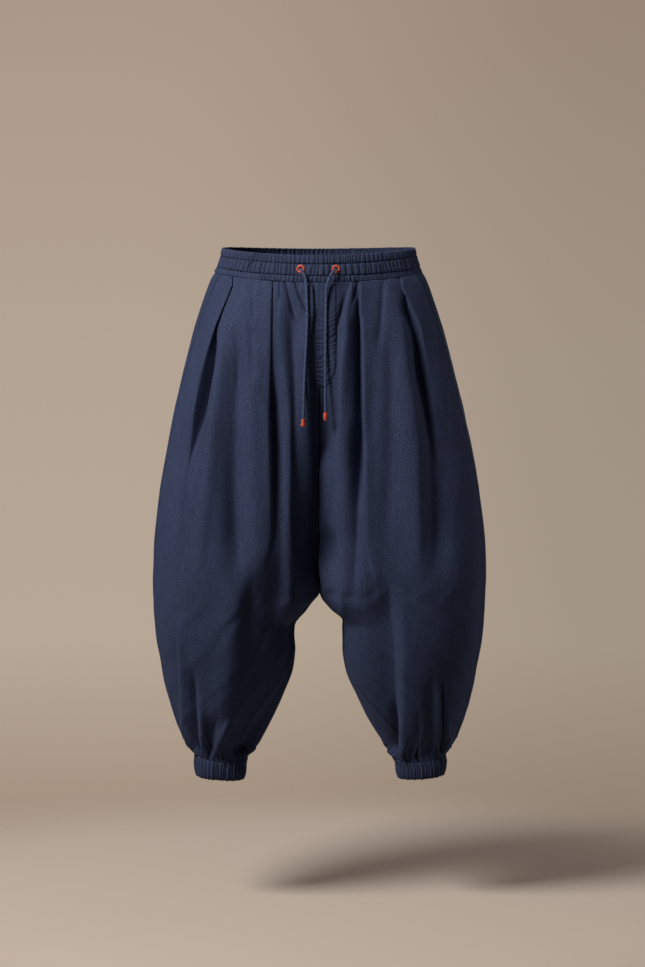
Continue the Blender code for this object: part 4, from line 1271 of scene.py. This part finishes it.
def make_cloth_material(name, light, dark, painted_shade_colour):
    """A woven cloth's material between two colours, painted darker as shade deep in its gathers."""
    material, tree, shader = new_material(
        name, Roughness=0.85, Sheen_Weight=0.1, Sheen_Roughness=0.5, Sheen_Tint=linear("8fa0d8"),
        Specular_IOR_Level=0.2)
    uv = add_node(tree, "ShaderNodeUVMap", uv_map="cloth").outputs[0]
    pebble = weave_noise(tree, uv, *PEBBLE_SIZE, detail=2.0)
    slub = weave_noise(tree, uv, *SLUB_SIZE, detail=1.0)
    fade = weave_noise(tree, uv, *FADE_SIZE, detail=2.0)
    grain = 0.0
    for noise, share in ((pebble, PEBBLE_SHARE), (slub, SLUB_SHARE), (fade, FADE_SHARE)):
        inputs = {0: noise, 1: share, 2: grain}
        grain = add_node(tree, "ShaderNodeMath", inputs, operation="MULTIPLY_ADD").outputs[0]
    inputs = {"Value": grain, "From Min": GRAIN_SPREAD[0], "From Max": GRAIN_SPREAD[1]}
    spread = add_node(tree, "ShaderNodeMapRange", inputs)
    inputs = {MIX_FACTOR: spread.outputs[0], MIX_A: linear(dark), MIX_B: linear(light)}
    colour = add_node(tree, "ShaderNodeMix", inputs, data_type="RGBA")
    # Painted shade: the gather attribute mixes in a near-black navy in creases, gathers, seams and
    # grooves.
    gather = add_node(tree, "ShaderNodeAttribute", attribute_name="gather").outputs["Fac"]
    inputs = {MIX_FACTOR: gather, MIX_A: colour.outputs[MIX_COLOUR], MIX_B: linear(painted_shade_colour)}
    deep = add_node(tree, "ShaderNodeMix", inputs, data_type="RGBA")
    tree.links.new(deep.outputs[MIX_COLOUR], shader.inputs["Base Color"])
    inputs = {"Strength": 0.5, "Distance": WEAVE_RELIEF * MM, "Height": grain}
    bump = add_node(tree, "ShaderNodeBump", inputs)
    tree.links.new(bump.outputs[0], shader.inputs["Normal"])
    return material


navy_crepe = make_cloth_material("navy_linen_crepe", light="3f4969", dark="272e46", painted_shade_colour="0b0d13")
for piece in (*panels.values(), waistband, *cuffs.values(), fly):
    piece.data.materials.append(navy_crepe)
braided_cotton = make_cloth_material(
    "navy_braided_cotton", light="5a678c", dark="465270", painted_shade_colour="1c2236")
for piece in cords.values():
    piece.data.materials.append(braided_cotton)
print("cloth pieces:", len(panels) + len(cuffs) + 2)

# %% [markdown]
# The two eyelets are brass rings with a coral enamel coat, pressed through the channel. A turned
# outline makes the rounded flange and the barrel. The holes they line are opened in the
# waistband's skin first: the faces inside the barrel go, and the two rims are joined.

# %% Eyelets
EYELET_OUTLINE = (
    (3.4, 0.7), (4.1, 1.5), (5.4, 1.8), (6.6, 1.4), (7.1, 0.8), (6.9, 0.3),
    (4.0, 0.3), (4.0, -5.0), (3.4, -5.0),
)
EYELET_SIDES = 48
EYELET_ROUND_TO = 5
EYELET_FINER = 4
EYELET_FLAT = 40.0
HOLE_REACH = 12.0


def eyelet_frame(side):
    """The place and turn of an eyelet: its local Z points out of the waistband."""
    width, deep = CORD_ROW["half_width"], CORD_ROW["half_depth"]
    x = EYELET_PLACES[side]
    y = -deep * math.sqrt(1.0 - (x / width) ** 2)
    out = Vector((x / width**2, y / deep**2, 0.0)).normalized()
    turn = out.to_track_quat("Z", "Y").to_matrix().to_4x4()
    return Matrix.Translation(Vector((x, y, EYELET_HEIGHT)) * MM) @ turn


def open_hole(piece, place, radius):
    """Opens a round hole through a wall and closes its two rims with each other."""
    into = place.inverted()
    tidy = bmesh.new()
    tidy.from_mesh(piece.data)
    gone = []
    for face in tidy.faces:
        local = into @ face.calc_center_median()
        if math.hypot(local.x, local.y) < radius * MM and abs(local.z) < HOLE_REACH * MM:
            gone.append(face)
    bmesh.ops.delete(tidy, geom=gone, context="FACES")
    rims = [edge for edge in tidy.edges if edge.is_boundary]
    bmesh.ops.bridge_loops(tidy, edges=rims)
    bmesh.ops.recalc_face_normals(tidy, faces=tidy.faces)
    tidy.to_mesh(piece.data)
    tidy.free()
    piece.data.shade_smooth()


def make_eyelet(side, place):
    """An eyelet, its outline turned about its own Z."""
    table = np.array(EYELET_OUTLINE)
    fine = np.linspace(0, EYELET_ROUND_TO, EYELET_FINER * EYELET_ROUND_TO + 1)
    rounded = paired(*(through(np.arange(len(table)), column, fine) for column in table.T))
    radius, height = np.concatenate([rounded, table[EYELET_ROUND_TO + 1:]]).T
    angle = round_turn(EYELET_SIDES)[:, None]
    points = paired(radius * np.cos(angle), radius * np.sin(angle), height)
    along = np.append(lengths_along(paired(radius, height)), 0.0)
    uv = paired(np.linspace(0.0, EYELET_FLAT, EYELET_SIDES + 1)[:, None], along)
    piece = make_skin(f"eyelet_{side}", "enamel", points, uv, np.zeros(points.shape[:2]), ring=True)
    piece.data.transform(place)
    return piece


eyelets = {}
for side in SIDES:
    place = eyelet_frame(side)
    open_hole(waistband, place, EYELET_HOLE)
    eyelets[side] = make_eyelet(side, place)
print("eyelets across, mm:", 2 * EYELET_OUTLINE[4][0])

# %% [markdown]
# Enamel is a glossy colour baked on metal. It gives an even coat with soft highlights, so a clear
# coat lies over the colour. Two corals are mixed, because a real coat is never quite one tone.

# %% Coral enamel
coral_enamel, tree, shader = new_material(
    "coral_enamelled_brass", Roughness=0.34, Coat_Weight=0.25, Coat_Roughness=0.2)
mottle(tree, shader, grain=2.5, detail=3.0, dark="c94f3a", light="ee7358")
for eyelet in eyelets.values():
    eyelet.data.materials.append(coral_enamel)
print("enamel on", len(eyelets), "eyelets")

# %% [markdown]
# Both cord ends are whipped: coral thread is wound tightly round the cord so that the braid
# can't open. One is flared at its end and the other is a small barrel. The turns lie so close
# that each tip is one turned outline, with a small ring of relief for every turn of the thread.
# The thread is matt, and its turns part in fine dark lines.

# %% Whipped tips
TIP_OUTLINES = {
    "right": ((2.9, 0.0), (3.3, 1.2), (3.4, 4.6), (3.0, 6.2), (3.7, 8.0), (4.2, 11.0), (3.4, 12.8)),
    "left": ((2.6, 0.0), (3.4, 1.6), (3.8, 5.0), (3.6, 8.6), (2.9, 11.6), (2.4, 13.4)),
}
TIP_SIDES = 28
TIP_AROUND = 20.0
TIP_RUN = 9.6
TIP_ROW = 0.15
TIP_END = 0.5
THREAD_ROUND = 0.9
THREAD_RELIEF = 0.16


def make_tip(side):
    """A whipped tip in line with its cord's end, its thread as rings of low relief."""
    table = np.array(TIP_OUTLINES[side])
    height = np.arange(0.0, table[-1, 1], TIP_ROW)
    radius = through(table[:, 1], table[:, 0], height)
    radius = radius - THREAD_RELIEF + THREAD_RELIEF * np.abs(np.sin(math.pi * height / THREAD_ROUND))
    radius = np.concatenate([[radius[0] * TIP_END], radius, [radius[-1] * TIP_END]])[:, None]
    height = np.concatenate([[height[0]], height, [height[-1]]])[:, None]
    angle = round_turn(TIP_SIDES)
    points = paired(radius * np.cos(angle), radius * np.sin(angle), height)
    uv = paired(np.linspace(0.0, TIP_AROUND, TIP_SIDES + 1), height)
    tip = make_skin(f"cord_tip_{side}", "whipping", points, uv, np.zeros(points.shape[:2]), ring=False)
    route = smooth_route(CORD_ROUTES[side], TIP_RUN)
    ahead = Vector(route[-1] - route[-2]).normalized()
    place = Vector(route[-1]) + ahead * SEAM_GAP
    turn = ahead.to_track_quat("Z", "Y").to_matrix().to_4x4()
    tip.data.transform(Matrix.Translation(place * MM) @ turn)
    return tip


tips = {side: make_tip(side) for side in SIDES}
coral_thread = make_cloth_material(
    "coral_whipping_thread", light="e0674c", dark="b8402e", painted_shade_colour="7a2a20")
for tip in tips.values():
    tip.data.materials.append(coral_thread)
print("tips:", len(tips))

# %% [markdown]
# The visible sewing is lockstitch in navy thread, three millimetres a stitch. On the real thing a
# machine makes one stitch after another along a line, and so does the node tree here: it walks
# along a line, lays one small thread loop at each step and turns it along the line. Polyester
# thread is smoother than the cloth, so its stitches catch a little more light.

# %% Stitches
STITCH_PITCH = 4.0
STITCH_LENGTH = 2.9
STITCH_THREAD = 0.55
STITCH_RISE = 0.1
STITCH_SEGMENTS = 6
STITCH_RINGS = 4
FLY_LINE_TOP, FLY_LINE_BOTTOM = -108.0, -172.0
FLY_HOOK_FROM = 4.0

polyester_thread, tree, shader = new_material("navy_polyester_thread", Roughness=0.6)
mottle(tree, shader, grain=2.0, detail=1.0, dark="232a3e", light="3c4663")

stitching = bpy.data.node_groups.new("stitching", "GeometryNodeTree")
for title, kind, way in (
    ("Line", "NodeSocketGeometry", "INPUT"), ("Pitch", "NodeSocketFloat", "INPUT"),
    ("Length", "NodeSocketFloat", "INPUT"), ("Thread", "NodeSocketFloat", "INPUT"),
    ("Stitches", "NodeSocketGeometry", "OUTPUT"),
):
    stitching.interface.new_socket(title, in_out=way, socket_type=kind)
given = add_node(stitching, "NodeGroupInput").outputs
line = add_node(stitching, "GeometryNodeMeshToCurve", {"Mesh": given["Line"]}).outputs[0]
inputs = {"Curve": line, "Length": given["Pitch"]}
steps = add_node(stitching, "GeometryNodeResampleCurve", inputs, mode="LENGTH").outputs[0]
ball = add_node(
    stitching, "GeometryNodeMeshUVSphere",
    {"Segments": STITCH_SEGMENTS, "Rings": STITCH_RINGS, "Radius": 0.5}).outputs[0]
inputs = {0: given["Thread"], 1: given["Thread"], 2: given["Length"]}
size = add_node(stitching, "ShaderNodeCombineXYZ", inputs).outputs[0]
loop = add_node(stitching, "GeometryNodeTransform", {"Geometry": ball, "Scale": size}).outputs[0]
along = add_node(stitching, "GeometryNodeInputTangent").outputs[0]
turn = add_node(stitching, "FunctionNodeAlignRotationToVector", {"Vector": along}, axis="Z").outputs[0]
inputs = {"Points": steps, "Instance": loop, "Rotation": turn}
placed = add_node(stitching, "GeometryNodeInstanceOnPoints", inputs).outputs[0]
real = add_node(stitching, "GeometryNodeRealizeInstances", {"Geometry": placed}).outputs[0]
done = add_node(
    stitching, "GeometryNodeSetMaterial", {"Geometry": real, "Material": polyester_thread}).outputs[0]
add_node(stitching, "NodeGroupOutput", {"Stitches": done})
sockets = {item.name: item.identifier for item in stitching.interface.items_tree}


def sew(node, lines):
    """Stitches along lines of points, as one piece on a node."""
    mesh = bpy.data.meshes.new("sewing_line")
    starts = np.cumsum([0] + [len(points) for points in lines])
    edges = [(k, k + 1) for first, last in zip(starts, starts[1:]) for k in range(first, last - 1)]
    mesh.from_pydata((np.concatenate(lines) * MM).tolist(), edges, [])
    guide = bpy.data.objects.new("sewing_line", mesh)
    bpy.context.scene.collection.objects.link(guide)
    modifier = guide.modifiers.new("stitching", "NODES")
    modifier.node_group = stitching
    for title, size in (("Pitch", STITCH_PITCH), ("Length", STITCH_LENGTH), ("Thread", STITCH_THREAD)):
        modifier[sockets[title]] = size * MM
    graph = bpy.context.evaluated_depsgraph_get()
    sewn = bpy.data.meshes.new_from_object(guide.evaluated_get(graph))
    guide.modifiers.remove(modifier)
    bpy.data.objects.remove(guide)
    sewn.name = f"{node}_stitches"
    sewn.shade_smooth()
    print(sewn.name, "loops:", len(sewn.vertices) // (2 + STITCH_SEGMENTS * (STITCH_RINGS - 1)))
    return place_piece(node, "stitches", sewn)


stitch_column = EDGE_COLUMNS.index(SEAM_STITCH_PLACE)
for side in SIDES:
    node = f"{TOPSTITCHED}_{side}"
    grid, out, _ = surfaces[node]
    raised = grid + out * (CLOTH / 2.0 + STITCH_RISE)
    sew(node, [raised[:, stitch_column], raised[:, -1 - stitch_column]])
band_lines = []
for line in STITCH_ROWS:
    row = band_outer[:, int(np.argmin(np.abs(band_places - line)))]
    band_lines.append(row + unit(row * (1.0, 1.0, 0.0)) * STITCH_RISE)
sew("waistband", band_lines)
reach = np.array([fly_reach(z) for z in fly_grid[:, 0, 2]])
share = (reach - FLY_STITCH_PLACE) / reach * (FLY_COLUMNS - 1)
fly_rows = np.arange(FLY_ROWS)
column = np.clip(np.floor(share).astype(int), 0, FLY_COLUMNS - 2)
part = (share - column)[:, None]
j_line = mix(high[fly_rows, column], high[fly_rows, column + 1], part)
rise = np.array([0.0, -STITCH_RISE, 0.0])
level = (high[:, 2, 2] < FLY_LINE_TOP) & (high[:, 2, 2] > FLY_LINE_BOTTOM)
sew("fly", [j_line[j_line[:, 0] > FLY_HOOK_FROM] + rise, high[level, 2] + rise])

# %% [markdown]
# Each cord's path is traced at its real size in steps of 3 mm, but the result is not kept. Both
# cord ends hang free from their eyelets.

CORD_PATH_STEP = 3.0

for side, piece in cords.items():
    (smooth_route(CORD_ROUTES[side], CORD_PATH_STEP) * MM).tolist()
print("declared cords:", len(cords))

# %% [markdown]
# Every panel, every casing and the fly is a sheet with a flat cut. Its area is measured on its
# grid of points, and its width and length are its widest row and longest column laid straight.

def declare_sheet(piece, grid):
    """States a sheet's flat size from its grid of points."""
    width = float(np.linalg.norm(np.diff(grid, axis=1), axis=2).sum(axis=1).max())
    length = float(np.linalg.norm(np.diff(grid, axis=0), axis=2).sum(axis=0).max())
    a, b = np.diff(grid, axis=1)[:-1], np.diff(grid, axis=0)[:, :-1]
    area = float(np.linalg.norm(np.cross(a, b), axis=2).sum())
    print(piece.name, "mm:", round(width), "by", round(length), "area m2:", round(area * MM * MM, 4))


for node, piece in panels.items():
    declare_sheet(piece, surfaces[node][0])
declare_sheet(waistband, band_outer.transpose(1, 0, 2))
for side, piece in cuffs.items():
    declare_sheet(piece, cuff_surfaces[side][0].transpose(1, 0, 2))
declare_sheet(fly, fly_grid)

# %% [markdown]
# The picture was taken against a plain warm paper sweep. The floor is a round plate of the same
# tone a hand below the cuffs, which catches a soft shadow and fades out at its edge into the
# backdrop, so that it looks the same from every side. Paper also throws light back up at the
# legs. That bounce comes from the lower half of the world, and the floor itself gives none.

# %% Floor and backdrop
FLOOR_DROP = 1.115
FLOOR_RADIUS = 3.0
FLOOR_FADES = (0.55, 1.25)
FLOOR_TONE = "c5b8ac"
AMBIENT = 0.03
BOUNCE = 0.21
BOUNCE_FROM = (-0.6, -0.12)
FLOOR_GLOW = 0.11
FLOOR_GLOW_TONE = "cdab8c"
SWEEP_LOW, SWEEP_HIGH = -0.18, 0.01
SWEEP_DARKENS = (-0.05, 0.08)
SWEEP_DARKER = 0.78
SWEEP_TONES = ((0.0, "a59382"), (0.2, "b7a796"), (0.55, "b4a494"), (1.0, "ab9888"))

bpy.ops.mesh.primitive_circle_add(
    vertices=96, radius=FLOOR_RADIUS, fill_type="NGON", location=(0.0, 0.0, -FLOOR_DROP))
floor = bpy.context.active_object
floor.name = "floor"
floor.visible_diffuse = False
paper, tree, shader = new_material("warm_paper", Roughness=0.95, Specular_IOR_Level=0.1)
where = add_node(tree, "ShaderNodeTexCoord").outputs["Object"]
away = add_node(tree, "ShaderNodeVectorMath", {0: where}, operation="LENGTH").outputs["Value"]
shader.inputs["Base Color"].default_value = linear(FLOOR_TONE)
shader.inputs["Emission Color"].default_value = linear(FLOOR_GLOW_TONE)
shader.inputs["Emission Strength"].default_value = FLOOR_GLOW
fade = add_node(
    tree, "ShaderNodeMapRange",
    {"Value": away, "From Min": FLOOR_FADES[0], "From Max": FLOOR_FADES[1],
     "To Min": 1.0, "To Max": 0.0},
    interpolation_type="SMOOTHERSTEP")
tree.links.new(fade.outputs[0], shader.inputs["Alpha"])
floor.data.materials.append(paper)

world = bpy.data.worlds.new("studio")
bpy.context.scene.world = world
world.use_nodes = True
tree = world.node_tree
tree.nodes.clear()
# The backdrop's tone is painted shade: it changes with height and is darker to the right, as the light
# on the sweep falls off.
looking = add_node(tree, "ShaderNodeTexCoord").outputs["Generated"]
across, _, up = add_node(tree, "ShaderNodeSeparateXYZ", {0: looking}).outputs
inputs = {"Value": up, "From Min": SWEEP_LOW, "From Max": SWEEP_HIGH}
height = add_node(tree, "ShaderNodeMapRange", inputs)
ramp = add_node(tree, "ShaderNodeValToRGB", {"Fac": height.outputs[0]})
for place, tone in SWEEP_TONES[1:-1]:
    ramp.color_ramp.elements.new(place)
for element, (place, tone) in zip(ramp.color_ramp.elements, SWEEP_TONES):
    element.position = place
    element.color = linear(tone)
darker = add_node(
    tree, "ShaderNodeMapRange",
    {"Value": across, "From Min": SWEEP_DARKENS[0], "From Max": SWEEP_DARKENS[1],
     "To Min": 1.0, "To Max": SWEEP_DARKER},
    interpolation_type="SMOOTHSTEP")
bounced = add_node(
    tree, "ShaderNodeMapRange",
    {"Value": up, "From Min": BOUNCE_FROM[0], "From Max": BOUNCE_FROM[1],
     "To Min": BOUNCE, "To Max": AMBIENT},
    interpolation_type="SMOOTHSTEP")
soft_light = add_node(
    tree, "ShaderNodeBackground", {"Color": linear("fff4e8"), "Strength": bounced.outputs[0]})
inputs = {"Color": ramp.outputs[0], "Strength": darker.outputs[0]}
seen = add_node(tree, "ShaderNodeBackground", inputs)
ray = add_node(tree, "ShaderNodeLightPath").outputs["Is Camera Ray"]
both = add_node(tree, "ShaderNodeMixShader", {0: ray, 1: soft_light.outputs[0], 2: seen.outputs[0]})
add_node(tree, "ShaderNodeOutputWorld", {"Surface": both.outputs[0]})
print("floor at", -FLOOR_DROP, "m")

# %% [markdown]
# One large soft light stands to the left and in front, well above the garment, and models every
# fold from one side. A weak one from the right keeps the shadowed leg from going black, and one
# from behind shows the folds of the back.

# %% Lights
LIGHT_AIM = Vector((0.0, 0.0, -0.42))
LIGHT_COLUMNS = ("azimuth", "elevation", "distance", "size", "power", "colour")
LIGHTS = {
    "key": (-46.0, 45.0, 4.2, 1.7, 180.0, "fffcf8"),
    "fill": (106.0, 10.0, 4.5, 2.4, 31.0, "f4f6ff"),
    "back": (178.0, 5.0, 4.8, 2.4, 45.0, "f4f6ff"),
}


def add_light(name, azimuth, elevation, distance, size, power, colour):
    """An area light that faces the garment from an azimuth, with 0 in front and 90 at its left."""
    lamp = bpy.data.lights.new(name, "AREA")
    lamp.shape = "DISK"
    lamp.size = size
    lamp.energy = power
    lamp.color = linear(colour)[:3]
    light = bpy.data.objects.new(name, lamp)
    bpy.context.scene.collection.objects.link(light)
    a, e = math.radians(azimuth), math.radians(elevation)
    way = Vector((math.sin(a) * math.cos(e), -math.cos(a) * math.cos(e), math.sin(e)))
    light.location = LIGHT_AIM + way * distance
    light.rotation_euler = (-way).to_track_quat("-Z", "Y").to_euler()


for name, row in LIGHTS.items():
    add_light(name, **named(LIGHT_COLUMNS, row))
bpy.context.scene.view_settings.view_transform = "Standard"
print("lights:", ", ".join(LIGHTS))

# %% [markdown]
# At the end the script counts its triangles. Cloth may stand a little proud of its solid.

# %% Triangle count
skins = [thing for thing in bpy.context.scene.objects if thing.type == "MESH"]
triangles = {skin.name: sum(len(face.vertices) - 2 for face in skin.data.polygons)
             for skin in skins if skin.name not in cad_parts}
print("triangles:", triangles, "in all", sum(triangles.values()))
